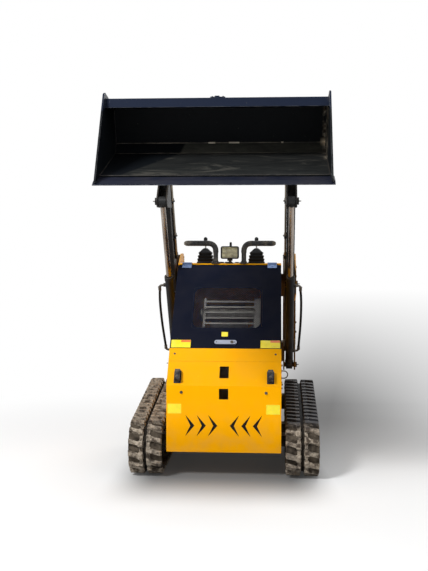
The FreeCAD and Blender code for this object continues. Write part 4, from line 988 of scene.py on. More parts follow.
class LOADER_OT_hull(bpy.types.Operator):
    """Weld seams, side covers, the tie ring and the rear service door"""

    bl_idname = "loader.hull"
    bl_label = "Hull"

    def execute(self, context):
        half = BODY_HALF * 1000
        welds, covers, places = Shape(), Shape(), []
        seams = ((300, 390, 189), (640, 730, 189), (300, 390, 123), (640, 730, 123), (832, 948, 948), (832, 948, 1084))
        for _, sign in SIDES:
            for y0, y1, z in seams:
                welds.weld(at(y0, z, sign * (half + 0.5)), at(y1, z, sign * (half + 0.5)))
            out = SIDEWAYS * sign
            outline = ((330, 400), (830, 400), (830, 560), (600, 560), (420, 540), (330, 480))
            covers.prism([at(y, z, sign * half) for y, z in outline], out * 0.003, 0, 0.0008, 1)
            for y, z in ((345, 412), (345, 470), (585, 412), (585, 548), (818, 412), (818, 548)):
                places.append((at(y, z, sign * (half + 3)), out))
        welds.make("hull_welds", "chassis", "yellow")
        covers.make("side_covers", "chassis", "yellow", slot="yellow_paint")
        bolts("cover_bolts", "chassis", places)
        ring = Shape()
        centre, root = at(212, 546, half + 16), SIDEWAYS * -0.016
        turns = [math.pi * (i / 24) - math.pi / 2 for i in range(25)]
        loop = [centre + Vector((0.019 * math.cos(t), 0, 0.020 * math.sin(t))) for t in turns]
        ring.sweep([loop[0] + root] + loop + [loop[-1] + root], 0.0032, 0, 10)
        for z in (-0.020, 0.020):
            ring.lathe(centre + root + UP * z, SIDEWAYS, ((0, 0.008), (0.003, 0.0075)), 0, 16)
        ring.make("tie_ring", "chassis", "bolt")
        self.rear()
        return {"FINISHED"}

    def rear(self):
        """A bolted service door with two rows of louvres under the thigh pad."""
        out = BACKWARDS
        y = at(962, 0).y
        door = Shape()
        outline = rounded_outline(0.225, 0.215, 0.018, 5)
        door.prism([(a, y, 0.640 + b) for a, b in outline], out * 0.004, 0, 0.001, 1)
        door.make("service_door", "chassis", "yellow", slot="yellow_paint")
        places = [((x, y + 0.004, z), out) for x in (-0.208, 0.208) for z in (0.442, 0.640, 0.838)]
        bolts("door_bolts", "chassis", places)
        louvre = Shape()
        outline = ((0, 0), (0.0105, 0.0), (0.0115, 0.003), (0.002, 0.020), (0, 0.020))
        louvre.prism([(-0.075, a, b) for a, b in outline], SIDEWAYS * 0.15, 0, 0.001, 1)
        points = [(x, y + 0.0035, 0.500 + 0.034 * i) for x in (-0.100, 0.100) for i in range(8)]
        louvre.repeat("door_louvres", points, [out] * len(points), UP, "yellow")


class LOADER_OT_hood(bpy.types.Operator):
    """Blank plates, lock, hinge screws and the perforated guard with its border"""

    bl_idname = "loader.hood"
    bl_label = "Hood"

    def execute(self, context):
        hinge_screws = []
        for side, sign in SIDES:
            x = sign * 0.249
            shape = Shape()
            shape.slab(on_hood(x, 0.0310), HOOD_WAY, 0.0545, 0.0275, 0.0005, HOOD_OUT, 0, 0.002)
            shape.slab(on_hood(x + 0.027, 0.0500, 0.0005), HOOD_WAY, 0.0265, 0.0070, 0.0003, HOOD_OUT, 1, 0.001)
            shape.make("hood_label_" + side, "hood", "label", "strip")
            for shift, along in ((-0.018, 0.6425), (0, 0.6285), (0.018, 0.6425)):
                hinge_screws.append((on_hood(sign * 0.256 + shift, along, 0.003), HOOD_OUT))
        spot = Shape()
        spot.slab(on_hood(-0.007, 0.1015), HOOD_WAY, 0.018, 0.0165, 0.0005, HOOD_OUT)
        spot.make("hood_spot_label", "hood", "label")
        lock = Shape()
        foot = on_hood(0.036, 0.0405, 0.007)
        collar = ((-0.001, 0.0095), (0.0016, 0.0095), (0.0024, 0.0085), (0.0024, 0.0065), (0.0014, 0.0062))
        lock.lathe(foot, HOOD_OUT, collar)
        lock.block(foot - Vector((0.0010, 0.004, 0.004)), foot + Vector((0.0010, 0.0015, 0.004)), 1, 0)
        for x, mark in ((0.016, 1), (-0.086, 0)):
            lock.lathe(foot + SIDEWAYS * x, HOOD_OUT, ((-0.001, 0.0036), (0.0012, 0.0034), (0.0018, 0.002)), mark, 20)
        lock.make("hood_lock", "hood", "bolt", "knob")
        bolts("hinge_screws", "hood", hinge_screws, 0.0065, 0.0022, 0.0006, "zinc")
        clips = [(on_hood(x, a, -0.006), -HOOD_OUT) for x in (-0.2075, 0.2075) for a in (0.16, 0.3, 0.44)]
        bolts("guard_bolts", "hood", clips, 0.008, 0.004, 0.001)
        self.guard(context)
        return {"FINISHED"}

    def guard(self, context):
        """A perforated sheet with a plain round-cornered border, flush in the hood's opening."""
        turns = circle(12, math.pi / 6)
        cell = Shape()
        cell.verts = [(r * c, r * s, 0) for (c, s), r in zip(turns, (0.57735, 0.5) * 6)]
        cell.verts += [(0.41 * c, 0.37 * s, 0) for c, s in turns]
        cell.faces = [[i, (i + 1) % 12, 12 + (i + 1) % 12, 12 + i] for i in range(12)]
        pattern = cell.pattern()
        pitch = context.scene.loader_guard.pitch
        columns = int((2 * WINDOW_HALF - 0.010) / pitch)
        rows = int((2 * WINDOW_RISE - 0.006) / (pitch * HEX_RISE))
        values = {"Columns": columns, "Rows": rows, "Pitch": pitch, "Pattern": pattern}
        sheet = grown("guard_sheet", "guard", [(0, 0, 0)], values, "hood", "guard")
        bpy.data.objects.remove(pattern)
        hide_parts("hood_mesh")
        rings = []
        for less, corner, depth in (
            (0.0004, 0.0216, 0.0002), (0.0070, 0.045, 0.0002), (0.0070, 0.045, 0.0012), (0.0004, 0.0216, 0.0012),
        ):
            outline = rounded_outline(WINDOW_HALF - less, WINDOW_RISE - less, corner, 10)
            rings.append([on_hood(a, WINDOW_MIDDLE + b, -depth) for a, b in outline])
        border = Shape()
        border.skin(rings, 0, True)
        border.make("guard_border", "hood", "hood", slot="hood_paint")


class LOADER_OT_engine(bpy.types.Operator):
    """The engine behind the guard: finned block, fan shroud, air canister, ribbed silencer and slatted cooler"""

    bl_idname = "loader.engine"
    bl_label = "Engine"

    def execute(self, context):
        block = Shape()
        for low, high, half, corner, segments in (
            ((500, 318), (780, 540), 150, 0.008, 2), ((520, 540), (760, 640), 118, 0.005, 2),
            ((530, 752), (750, 800), 110, 0.008, 2), ((560, 800), (720, 828), 96, 0.012, 3),
        ):
            block.block(at(*low, -half), at(*high, half), 0, corner, segments)
        shroud = ((0, 0.128), (0.048, 0.128), (0.056, 0.120), (0.056, 0.088), (0.050, 0.086))
        block.lathe(at(640, 610, -118), -SIDEWAYS, shroud, 1, 40)
        block.lathe(at(640, 610, -168), -SIDEWAYS, ((0, 0.040), (0.008, 0.040), (0.011, 0.030)), 1, 28)
        block.lathe(at(700, 380, 150), SIDEWAYS, ((0, 0.038), (0.022, 0.038), (0.028, 0.030)), 1, 28)
        block.lathe(at(735, 862, -150), SIDEWAYS, ((0, 0.034), (0.004, 0.038), (0.24, 0.038), (0.245, 0.034)), 1)
        piece = block.make("engine_body", "chassis", "cast", "knob", slot="cast_engine")
        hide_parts("engine_block")
        fin = Shape()
        fin.prism([(a, b, 0) for a, b in rounded_outline(0.132, 0.126, 0.014, 3)], UP * 0.004)
        fin.repeat("cylinder_fins", [at(640, 648 + 13 * i) for i in range(8)], [BACKWARDS] * 8, UP, "cast")
        silencer = Shape()
        silencer.lathe(at(520, 852, -165), SIDEWAYS, ((0, 0.030), (0.006, 0.0385), (0.324, 0.0385), (0.330, 0.030)))
        elbow = [at(530, 850, 120), at(560, 835, 160), at(640, 780, 165), at(650, 740, 118)]
        silencer.sweep(rounded_path(elbow, 0.03), 0.018, 0, 16)
        silencer.make("silencer", "chassis", "exhaust")
        rib = Shape()
        rib.lathe(Vector(), UP, ((0, 0.034), (0.002, 0.041), (0.006, 0.043), (0.010, 0.041), (0.012, 0.034)), 0, 28)
        places = [at(520, 852, -150 + 24 * i) for i in range(13)]
        rib.repeat("silencer_ribs", places, [UP] * 13, SIDEWAYS, "exhaust")
        slat = Shape()
        slat.block((-0.146, -0.006, -0.0025), (0.146, 0.006, 0.0025), 0, 0.0012, 1)
        places = [on_hood(0.006, 0.150 + 0.042 * i, -0.062) for i in range(7)]
        slat.repeat("cooler_fins", places, [HOOD_WAY] * 7, HOOD_OUT, "fin")
        frame_side = Shape()
        for x0, x1 in ((-0.142, -0.130), (0.152, 0.190)):
            corners = [on_hood(x0, a, -d) for a, d in ((0.135, 0.068), (0.435, 0.068), (0.435, 0.076), (0.135, 0.076))]
            frame_side.prism(corners, SIDEWAYS * (x1 - x0), 0, 0.001, 1)
            corners = [at(y, z, x0 * 1000) for y, z in ((398, 772), (398, 790), (534, 790), (534, 772))]
            frame_side.prism(corners, SIDEWAYS * 0.006, 0, 0.0005, 1)
        frame_side.make("cooler_frame", "chassis", "fin")
        return {"FINISHED"}


# Controls


class LOADER_OT_controls(bpy.types.Operator):
    """Padded grips, pleated joysticks, throttle, lamp, dials and the thigh pad"""

    bl_idname = "loader.controls"
    bl_label = "Controls"

    def execute(self, context):
        for side, sign in SIDES:
            self.grip(side, sign)
            self.joystick(side, sign)
        self.throttle()
        self.lamp()
        self.deck()
        self.pad()
        return {"FINISHED"}

    def grip(self, side, sign):
        """A foam-covered bar on a screwed collar, its end rounded off."""
        y, top = at(692, 0).y, DECK_Z + 0.123
        points = [Vector(p) for p in ((sign * 0.085, y, DECK_Z), (sign * 0.085, y, top), (sign * 0.2775, y, top))]
        bent = rounded_path(points, 0.050, 14)
        path = [bent[0].lerp(bent[1], t / 6) for t in range(6)] + bent[1:-1]
        path += [bent[-2].lerp(bent[-1], t / 20) for t in range(21)]
        radii = [0.0166 + 0.0003 * math.sin(i * 2.4) if i > 5 else 0.0145 for i in range(len(path))]
        radii[-4:] = [0.0163, 0.0154, 0.0128, 0.0066]
        bar = Shape()
        bar.sweep(path, radii, 0, 20)
        shape = bar.make("grip_bar_" + side, "chassis", "foam", slot="foam_rubber", smooth=60)
        foot = Shape()
        foot.lathe(points[0], UP, ((0, 0.029), (0.0045, 0.029), (0.006, 0.0275), (0.006, 0.019), (0.016, 0.0172)))
        foot.make("grip_collar_" + side, "chassis", "black")
        spread = [Vector((math.cos(t), math.sin(t), 0)) * 0.0235 for t in (0.8, 2.9, 5.0)]
        screws = [(points[0] + offset + UP * 0.0058, UP) for offset in spread]
        bolts("grip_screws_" + side, "chassis", screws, 0.006, 0.003, 0.0006)
        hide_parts("grip_" + side)

    def joystick(self, side, sign):
        """A square pleated boot with a chromed stick and a round knob."""
        middle = Vector((sign * 0.158, at(840, 0).y, DECK_Z))
        pleats = ((52, 0), (52, 7), (51, 9), (47, 13), (47.5, 15), (50, 24), (50, 27), (44, 32), (44, 34), (47, 44))
        pleats += ((47, 47), (39, 53), (39, 55), (43, 64), (42, 67), (28, 79), (24, 84), (12, 93), (9, 94))
        rings = []
        for size, rise in pleats:
            half = (size - 0.5) / 1000
            outline = rounded_outline(half, half, half * 0.34, 5)
            rings.append([middle + Vector((a, b, rise / 1000)) for a, b in outline])
        boot = Shape()
        boot.skin(rings)
        rubber = boot.make("stick_boot_" + side, "chassis", "boot", slot="foam_rubber", smooth=50)
        stick = Shape()
        foot = middle + UP * 0.090
        stick.lathe(foot, UP, ((0, 0.005), (0.046, 0.005)), 1, 20)
        knob = ((0.040, 0.0070), (0.044, 0.0098), (0.050, 0.0117), (0.058, 0.0124), (0.064, 0.0118), (0.069, 0.0094))
        stick.lathe(foot, UP, knob + ((0.072, 0.0054), (0.073, 0.0018)), 0, 28)
        stick.make("stick_knob_" + side, "chassis", "knob", "chrome", smooth=50)
        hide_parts("joystick_" + side)

    def throttle(self):
        """A straight lever on a small bolted base."""
        lever = Shape()
        foot = at(800, DECK_Z * 1000)
        lever.block(foot + Vector((-0.016, -0.016, 0)), foot + Vector((0.016, 0.016, 0.004)), 2, 0.001)
        lever.lathe(foot, UP, ((0.004, 0.013), (0.010, 0.011), (0.013, 0.006)), 2, 24)
        lever.lathe(foot, UP, ((0.010, 0.0045), (0.098, 0.0045)), 1, 16)
        knob = ((0.092, 0.0050), (0.095, 0.0068), (0.110, 0.0076), (0.124, 0.0076), (0.130, 0.0060), (0.132, 0.0024))
        lever.lathe(foot, UP, knob, 0, 24)
        piece = lever.make("throttle_stick", "chassis", "knob", "chrome", "black", smooth=50)
        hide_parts("throttle_lever")

    def lamp(self):
        """A cased lamp on a short foot, its ribbed front in a rim."""
        middle = Vector((0, at(709, 0).y, DECK_Z + 0.0675))
        half_z = 0.0385

        def ring(half_x, half, corner, back, share, share_z=None):
            outline = rounded_outline(half_x, half, corner, 5)
            return [middle + Vector((a * share, back, b * (share_z or share))) for a, b in outline]

        case = Shape()
        steps = ((-0.0195, 0.84, 0.82), (-0.0245, 0.86, 0.84), (-0.0245, 0.93, 0.93), (-0.0215, 1.0, 1.0))
        steps += ((-0.004, 1.0, 1.0), (0.010, 0.90, 0.90), (0.020, 0.70, 0.70), (0.0245, 0.52, 0.52))
        case.skin([ring(0.0555, half_z, 0.012, *step) for step in steps])
        foot = Vector((0, middle.y, DECK_Z))
        case.block(foot + Vector((-0.022, -0.010, 0)), foot + Vector((0.022, 0.010, 0.003)), 1, 0.0008)
        case.block(foot + Vector((-0.016, -0.009, 0.017)), foot + Vector((0.016, 0.009, 0.031)), 1, 0.003)
        case.lathe(foot + UP * 0.003, UP, ((0, 0.0085), (0.012, 0.0085), (0.014, 0.006), (0.030, 0.006)), 1, 20)
        piece = case.make("lamp_housing", "chassis", "plastic", "black", slot="lamp_plastic", smooth=40)
        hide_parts("work_lamp")
        glass = Shape()
        steps = ((-0.0200, 1.0), (-0.0228, 0.995), (-0.0236, 0.93), (-0.0239, 0.6))
        glass.skin([ring(0.0470, half_z * 0.815, 0.010, *step) for step in steps])
        glass.make("lamp_front", "chassis", "lens", smooth=50)
        corners = [Vector((x, -0.0225, z)) for x in (-0.0505, 0.0505) for z in (-0.033, 0.033)]
        bolts("lamp_screws", "chassis", [(middle + c, -BACKWARDS) for c in corners], 0.004, 0.0015, 0.0004)

    def deck(self):
        """Two blank dials, a key switch and a pair of rocker switches behind the sticks."""
        panel = Shape()
        panel.block(at(868, 1149, -112), at(948, 1152, 112), 0, 0.0012)
        rim = ((0, 0.0235), (0.004, 0.0235), (0.0055, 0.0220), (0.0055, 0.0195), (0.003, 0.0190))
        for x in (-70, -18):
            foot = at(908, 1152, x)
            panel.lathe(foot, UP, rim, 1, 36)
            panel.lathe(foot, UP, ((0, 0.0192), (0.0032, 0.0192), (0.0032, 0.001)), 2, 36)
            panel.block(foot + Vector((-0.0006, -0.002, 0.0032)), foot + Vector((0.0006, 0.014, 0.0038)), 1, 0)
        key = ((0, 0.0125), (0.003, 0.0125), (0.0045, 0.0105), (0.0045, 0.006), (0.003, 0.0058))
        panel.lathe(at(908, 1152, 35), UP, key, 3, 30)
        for x in (70, 92):
            panel.block(at(895, 1152, x - 7), at(921, 1155, x + 7), 1, 0.001)
            panel.block(at(899, 1154, x - 5), at(917, 1158, x + 5), 1, 0.0012)
        panel.make("deck_panel", "chassis", "black", "knob", "dial", "bolt")

    def pad(self):
        """The thigh pad: a crowned, seamed cushion whose sides pull in between its corners."""
        low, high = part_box("thigh_pad")
        middle = (low + high) / 2
        half_x, half_z, depth = (high.x - low.x) / 2, (high.z - low.z) / 2, high.y - low.y
        columns, rows = 56, 26
        across = [math.sin((2 * i / columns - 1) * math.pi / 2) for i in range(columns + 1)]
        upward = [math.sin((2 * j / rows - 1) * math.pi / 2) for j in range(rows + 1)]

        def place(i, j, t):
            """A point over the face, t of the way from the wall to the crown."""
            u, v = across[i], upward[j]
            corner = 1 - 0.03 * abs(u) ** 8 * abs(v) ** 8
            x = u * half_x * (1 - 0.022 * (1 - v * v)) * corner
            z = v * half_z * (1 - 0.045 * (1 - u * u)) * corner
            return Vector((middle.x + x, low.y + depth * t, middle.z + z))

        def crown(i, j):
            u, v = across[i], upward[j]
            fall = max(0.0, (1 - abs(u) ** 5) * (1 - abs(v) ** 3.2))
            channel = sum(math.exp(-(((u - c) * half_x) / 0.006) ** 2) for c in (-0.34, 0.34)) * 0.16
            wrinkle = 0.003 * math.sin(u * 31 + v * 7) * (1 - fall) + 0.002 * math.sin(v * 23 - u * 11)
            return 0.30 + 0.68 * fall ** 0.42 - channel * fall ** 0.3 + wrinkle

        ring = [(i, 0) for i in range(columns)] + [(columns, j) for j in range(rows)]
        ring += [(i, rows) for i in range(columns, 0, -1)] + [(0, j) for j in range(rows, 0, -1)]
        bm = bmesh.new()
        grid = {(i, j): bm.verts.new(place(i, j, crown(i, j))) for i in range(columns + 1) for j in range(rows + 1)}
        wall = {spot: bm.verts.new(place(*spot, 0.02)) for spot in ring}
        for i in range(columns):
            for j in range(rows):
                bm.faces.new((grid[i, j], grid[i + 1, j], grid[i + 1, j + 1], grid[i, j + 1]))
        for a, b in zip(ring, ring[1:] + ring[:1]):
            bm.faces.new((grid[a], grid[b], wall[b], wall[a]))
        bm.faces.new(list(wall.values()))
        pad = Shape()
        pad.take(bm, 0)
        cushion = pad.make("thigh_cushion", "chassis", "vinyl", slot="foam_rubber", smooth=70)
        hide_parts("thigh_pad")
        seam = Shape()
        seam.sweep([place(*spot, 0.30) for spot in ring + ring[:1]], 0.0022, 0, 8)
        seam.make("thigh_cushion_piping", "chassis", "vinyl", slot="foam_rubber", smooth=70)


class LOADER_OT_platform(bpy.types.Operator):
    """Raised tread, edge welds and bolts of the standing plate"""

    bl_idname = "loader.platform"
    bl_label = "Platform"

    def execute(self, context):
        low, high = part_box("operator_platform")
        top = 0.251
        lens = Shape()
        outline = ((-0.013, 0), (-0.006, 0.0026), (0.006, 0.0026), (0.013, 0), (0.006, -0.0026), (-0.006, -0.0026))
        lens.skin([[(a, b, -0.0005) for a, b in outline], [(a * 0.8, b * 0.5, 0.0014) for a, b in outline]])
        points, forward = [], []
        for i in range(22):
            for j in range(14):
                x, y = -0.262 + 0.025 * i, low.y + 0.118 + 0.025 * j
                if x <= 0.270 and y <= high.y - 0.012:
                    points.append((x, y, top))
                    forward.append((1, 1, 0) if (i + j) % 2 else (-1, 1, 0))
        lens.repeat("platform_tread", points, forward, UP, "black")
        welds = Shape()
        for x in (-0.2835, 0.2835):
            welds.weld(Vector((x, at(1045, 0).y, top)), Vector((x, high.y - 0.004, top)), 0.003)
        welds.make("platform_welds", "chassis", "weld")
        places = [(at(1023, 251, x), UP) for x in (-240, -80, 80, 240)]
        bolts("platform_bolts", "chassis", places, 0.017, 0.008, 0.002)
        return {"FINISHED"}


# Boom


class LOADER_OT_towers(bpy.types.Operator):
    """Weld seams, grease nipples and bolts of the towers"""

    bl_idname = "loader.towers"
    bl_label = "Towers"

    def execute(self, context):
        for side, sign in SIDES:
            out = SIDEWAYS * sign
            inner, outer = sign * 327, sign * 404
            welds = Shape()
            for x in (inner, outer):
                welds.weld(at(1099.5, 620, x), at(1099.5, 1140, x))
                welds.weld(at(1168.5, 600, x), at(1168.5, 1190, x))
            for y0, y1, z in ((832, 948, 945), (832, 948, 1083), (965, 1098, 528), (965, 1098, 647)):
                welds.weld(at(y0, z, inner - sign), at(y1, z, inner - sign))
            welds.make("tower_welds_" + side, "chassis", "tower")
            fittings = Shape()
            for pin in (BOOM_PIVOT, LIFT_BASE):
                fittings.nipple(pin + out * 0.4135, out)
            fittings.make("tower_nipples_" + side, "chassis", "bolt")
            places = [(at(y, z, outer), out) for y, z in ((1125, 700), (1145, 760), (1125, 1060), (1145, 1120))]
            bolts("tower_bolts_" + side, "chassis", places, 0.013, 0.006, 0.0016)
        return {"FINISHED"}


class LOADER_OT_boom(bpy.types.Operator):
    """Oil tubes with their clamps, weld seams and pin fittings of the boom"""

    bl_idname = "loader.boom"
    bl_label = "Boom"

    def execute(self, context):
        for side, sign in SIDES:
            self.tubes(side, sign)
            self.welds(side, sign)
        seams = Shape()
        middle = KNEE + FRONT_WAY * 0.326 - FRONT_TOP * 0.012
        corners = [middle + (FRONT_WAY * a + FRONT_TOP * b) * 0.028 for a, b in ((-1, -1), (1, -1), (1, 1), (-1, 1))]
        for sign in (1, -1):
            for x, radius, skipped in ((0.3405, 0.0035, ()), (0.0465, 0.003, (2,))):
                for i, (start, end) in enumerate(zip(corners, corners[1:] + corners[:1])):
                    if i not in skipped:
                        seams.weld(start + SIDEWAYS * sign * x, end + SIDEWAYS * sign * x, radius)
        seams.make("cross_tube_welds", "boom", "weld")
        return {"FINISHED"}

    def tubes(self, side, sign):
        """Two oil tubes along the arm's inner face, held by four bolted clamps."""
        inward = -SIDEWAYS * sign
        face = SIDEWAYS * sign * 0.334
        lines, places = Shape(), []
        for offset in (0.014, 0.036):
            first = BOOM_PIVOT + REAR_WAY * 0.190 + REAR_TOP * offset
            corner = KNEE - REAR_WAY * offset * 0.4 + REAR_TOP * offset
            last = KNEE + FRONT_WAY * 0.150 + FRONT_TOP * offset
            lines.sweep(rounded_path([p + face for p in (first, corner, last)], 0.060, 16), 0.0060, 0, 16)
        for spot, along, top, half in (
            (BOOM_PIVOT + REAR_WAY * 0.197, REAR_WAY, REAR_TOP, 0.012),
            (KNEE + FRONT_WAY * 0.143, FRONT_WAY, FRONT_TOP, 0.012),
            (BOOM_PIVOT.lerp(KNEE, 0.42), REAR_WAY, REAR_TOP, 0.009),
            (BOOM_PIVOT.lerp(KNEE, 0.72), REAR_WAY, REAR_TOP, 0.009),
        ):
            place = spot + top * 0.025 + face + inward * 0.008
            corners = [place + along * a * half + top * b * 0.021 for a, b in ((-1, -1), (1, -1), (1, 1), (-1, 1))]
            lines.prism(corners, inward * -0.016, 1, 0.002)
            places.append((place, inward))
        piece = lines.make("oil_tubes_" + side, "boom", "tube", "black", slot="grey_tube")
        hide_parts("boom_lines_" + side)
        bolts("clamp_bolts_" + side, "boom", places, 0.008, 0.004, 0.001)

    def welds(self, side, sign):
        """Fillet seams along the arm's two side plates, and its pins' fittings."""
        out = SIDEWAYS * sign
        seams = Shape()
        rear = BOOM_PIVOT + REAR_WAY * 0.080, 0.0562, KNEE - REAR_WAY * 0.110, 0.0592
        front = KNEE + FRONT_WAY * 0.100, 0.0575, BUCKET_PIVOT - FRONT_WAY * 0.060, 0.0462
        for x in (out * 0.3432, out * 0.3868):
            for top in (REAR_TOP, -REAR_TOP, FRONT_TOP, -FRONT_TOP):
                start, start_rise, end, end_rise = rear if top in (REAR_TOP, -REAR_TOP) else front
                seams.weld(start + top * start_rise + x, end + top * end_rise + x, 0.0028)
        seams.make("arm_welds_" + side, "boom", "weld")
        fittings = Shape()
        fittings.nipple(LIFT_HEAD + out * 0.4055, out)
        fittings.nipple(BOOM_PIVOT + out * 0.365 - REAR_WAY * 0.0555, -REAR_WAY)
        fittings.make("arm_nipples_" + side, "boom", "bolt")


class LOADER_OT_cylinders(bpy.types.Operator):
    """Glands, weld rings and wipers of the cylinders, and the end fittings of the lift hoses"""

    bl_idname = "loader.cylinders"
    bl_label = "Cylinders"

    def execute(self, context):
        for body, base, axis, length, barrel, rod in (
            ("lift_barrel_left", LIFT_BASE + SIDEWAYS * 0.365, LIFT_WAY, 0.708, 0.024, 0.015),
            ("lift_barrel_right", LIFT_BASE - SIDEWAYS * 0.365, LIFT_WAY, 0.708, 0.024, 0.015),
            ("tilt_barrel", TILT_BASE, TILT_WAY, 0.368, 0.026, 0.014),
        ):
            gland = [(0, 0), (0, 2.8), (1, 3), (12, 3), (13, 1.8), (16, 1.8), (17, 3), (28, 3), (30.2, 0.5)]
            gland = [(along / 1000, barrel + step / 1000) for along, step in gland]
            gland += [(0.0304, rod + 0.004), (0.0304, rod + 0.0004), (0.028, rod + 0.0004), (0.028, barrel - 0.001)]
            wiper = [(0, rod + 0.0045), (0.003, rod + 0.003), (0.0032, rod + 0.0003), (0, rod + 0.0003)]
            shape = Shape()
            shape.ring(base + axis * (length - 0.030), axis, gland, 0)
            shape.ring(base + axis * (length + 0.0004), axis, wiper, 1)
            over = axis.cross(SIDEWAYS)
            turns = circle(60)
            bead = [base + axis * 0.031 + (SIDEWAYS * c + over * s) * barrel for c, s in turns + turns[:1]]
            shape.sweep(bead, [0.0030 + 0.0006 * math.sin(i * 2.2) for i in range(61)], 2, 6)
            shape.make("gland_" + body, body, "black", "hose", "weld", slot="black_paint")
        nut = ((0, 0.0098), (0.008, 0.0098), (0.0085, 0.0084), (0.010, 0.0078))
        sleeve = ((-22, 7.5), (-21.5, 10), (-16, 10), (-15.5, 8.8), (-13, 9.4), (-10, 8.6), (-7, 9.6), (-4, 8.6))
        sleeve = [(along / 1000, radius / 1000) for along, radius in sleeve + ((-1, 9.6), (4, 9.2), (5, 7.8))]
        for side, sign in SIDES:
            out = SIDEWAYS * sign
            ends = Shape()
            for along, turn, reach in ((0.640, -1, 0.4265), (0.118, 1, 0.4225)):
                leave = LIFT_WAY * turn
                foot, bend = on_lift(sign * 0.395, along), on_lift(sign * reach, along)
                ends.lathe(foot, out, nut, 0, 6)
                ends.sweep(rounded_path([foot + out * 0.006, bend, bend + leave * 0.030], 0.020, 10), 0.0066, 0, 16)
                ends.lathe(bend + leave * 0.034, leave, sleeve, 0, 24)
            ends.make("hose_ends_" + side, "lift_barrel_" + side, "bolt")
        return {"FINISHED"}


HOSE_POINTS = (
    (0.4265, 0.40999, 0.99071),
    (0.4320, 0.44232, 0.94501),
    (0.4335, 0.50009, 0.86335),
    (0.4315, 0.56940, 0.76539),
    (0.4270, 0.62138, 0.69192),
    (0.4225, 0.67222, 0.62010),
)


class LOADER_OT_hoses(bpy.types.Operator):
    """The two lift hoses on their smooth lines"""

    bl_idname = "loader.hoses"
    bl_label = "Lift hoses"

    def execute(self, context):
        for side, sign in SIDES:
            points = [(x * sign, y, z) for x, y, z in HOSE_POINTS]
            curve = bpy.data.curves.new("hose_line_" + side, "CURVE")
            curve.dimensions = "3D"
            spline = curve.splines.new("NURBS")
            spline.points.add(len(points) - 1)
            for knot, place in zip(spline.points, points):
                knot.co = (*place, 1.0)
            spline.order_u = 3
            spline.use_endpoint_u = True
            spline.resolution_u = 16
            curve.bevel_depth = 0.0075
            curve.bevel_resolution = 6
            curve.use_fill_caps = True
            curve.materials.append(FINISH["hose"])
            hose = link("hose_line_" + side, curve)
            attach(hose, "lift_barrel_" + side)
            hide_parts("lift_hose_" + side)
        return {"FINISHED"}


# Bucket


class LOADER_OT_bucket(bpy.types.Operator):
    """Weld seams, stiffeners, roof lug and pin fittings of the bucket and its quick-attach plate"""

    bl_idname = "loader.bucket"
    bl_label = "Bucket"

    def execute(self, context):
        seams = Shape()
        for sign in (1, -1):
            x, outer = sign * 0.5205, sign * 0.5285
            run = [in_bucket(a, b + 0.5, x) for a, b in ((100, 6), (536, 6), (579, 47), (579, 222), (357, 300))]
            for start, end in zip(run, run[1:]):
                seams.weld(start, end, 0.0036)
            seams.weld(in_bucket(12, 0, outer), in_bucket(110, 0, outer), 0.003)
        seams.weld(in_bucket(101, 6.5, -0.519), in_bucket(101, 6.5, 0.519), 0.003)
        seams.weld(in_bucket(109, -6, -0.520), in_bucket(109, -6, 0.520))
        for b in (60, 210):
            for x0, x1 in ((-0.400, -0.060), (0.060, 0.400)):
                seams.weld(in_bucket(587, b, x0), in_bucket(587, b, x1))
        seams.make("bucket_welds", "bucket", "weld")
        rib = ((586, 224), (586, 150), (592, 150), (592, 226), (400, 301), (398, 296))
        ear = ((366, 292), (402, 288), (399, 309), (372, 313))
        ribs, lug = Shape(), Shape()
        for shape, outline, starts, thick in (
            (ribs, rib, (-0.474, -0.254, 0.246, 0.466), 0.008), (lug, ear, (-0.023, 0.027), 0.006),
        ):
            for x in starts:
                shape.prism([in_bucket(a, b, x) for a, b in outline], SIDEWAYS * thick, 0, 0.0008, 1)
        ribs.make("bucket_ribs", "bucket", "bucket", slot="bucket_paint")
        lug.lathe(in_bucket(386, 303, -0.030), SIDEWAYS, ((0, 0.0055), (0.070, 0.0055)), 0, 20)
        lug.lathe(in_bucket(386, 303, -0.009), SIDEWAYS, ((0, 0.0100), (0.022, 0.0100)), 0, 28)
        lug.make("roof_lug", "bucket", "bucket", slot="bucket_paint")
        places = [(in_bucket(612, b, x), BUCKET_BACK) for x in (-0.37, -0.13, 0.13, 0.37) for b in (70, 185)]
        bolts("attach_bolts", "bucket", places, 0.019, 0.010, 0.003)
        fittings = Shape()
        for out in (SIDEWAYS, -SIDEWAYS):
            fittings.nipple(BUCKET_PIVOT + out * 0.4125, out)
        fittings.nipple(TILT_HEAD + SIDEWAYS * 0.0395, SIDEWAYS)
        fittings.make("bucket_nipples", "bucket", "bolt")
        return {"FINISHED"}


# Stage


CAMERA_PLACE = (0.2787, -5.1205, 1.2489)
CAMERA_YAW, CAMERA_PITCH, CAMERA_ROLL = 3.878, -2.400, 0.054
CAMERA_LENS = 36 * 914.5 / 571
CAMERA_BACK = 5.12
FLOOR_REACH = 40
WHITE = (1, 1, 1, 1)


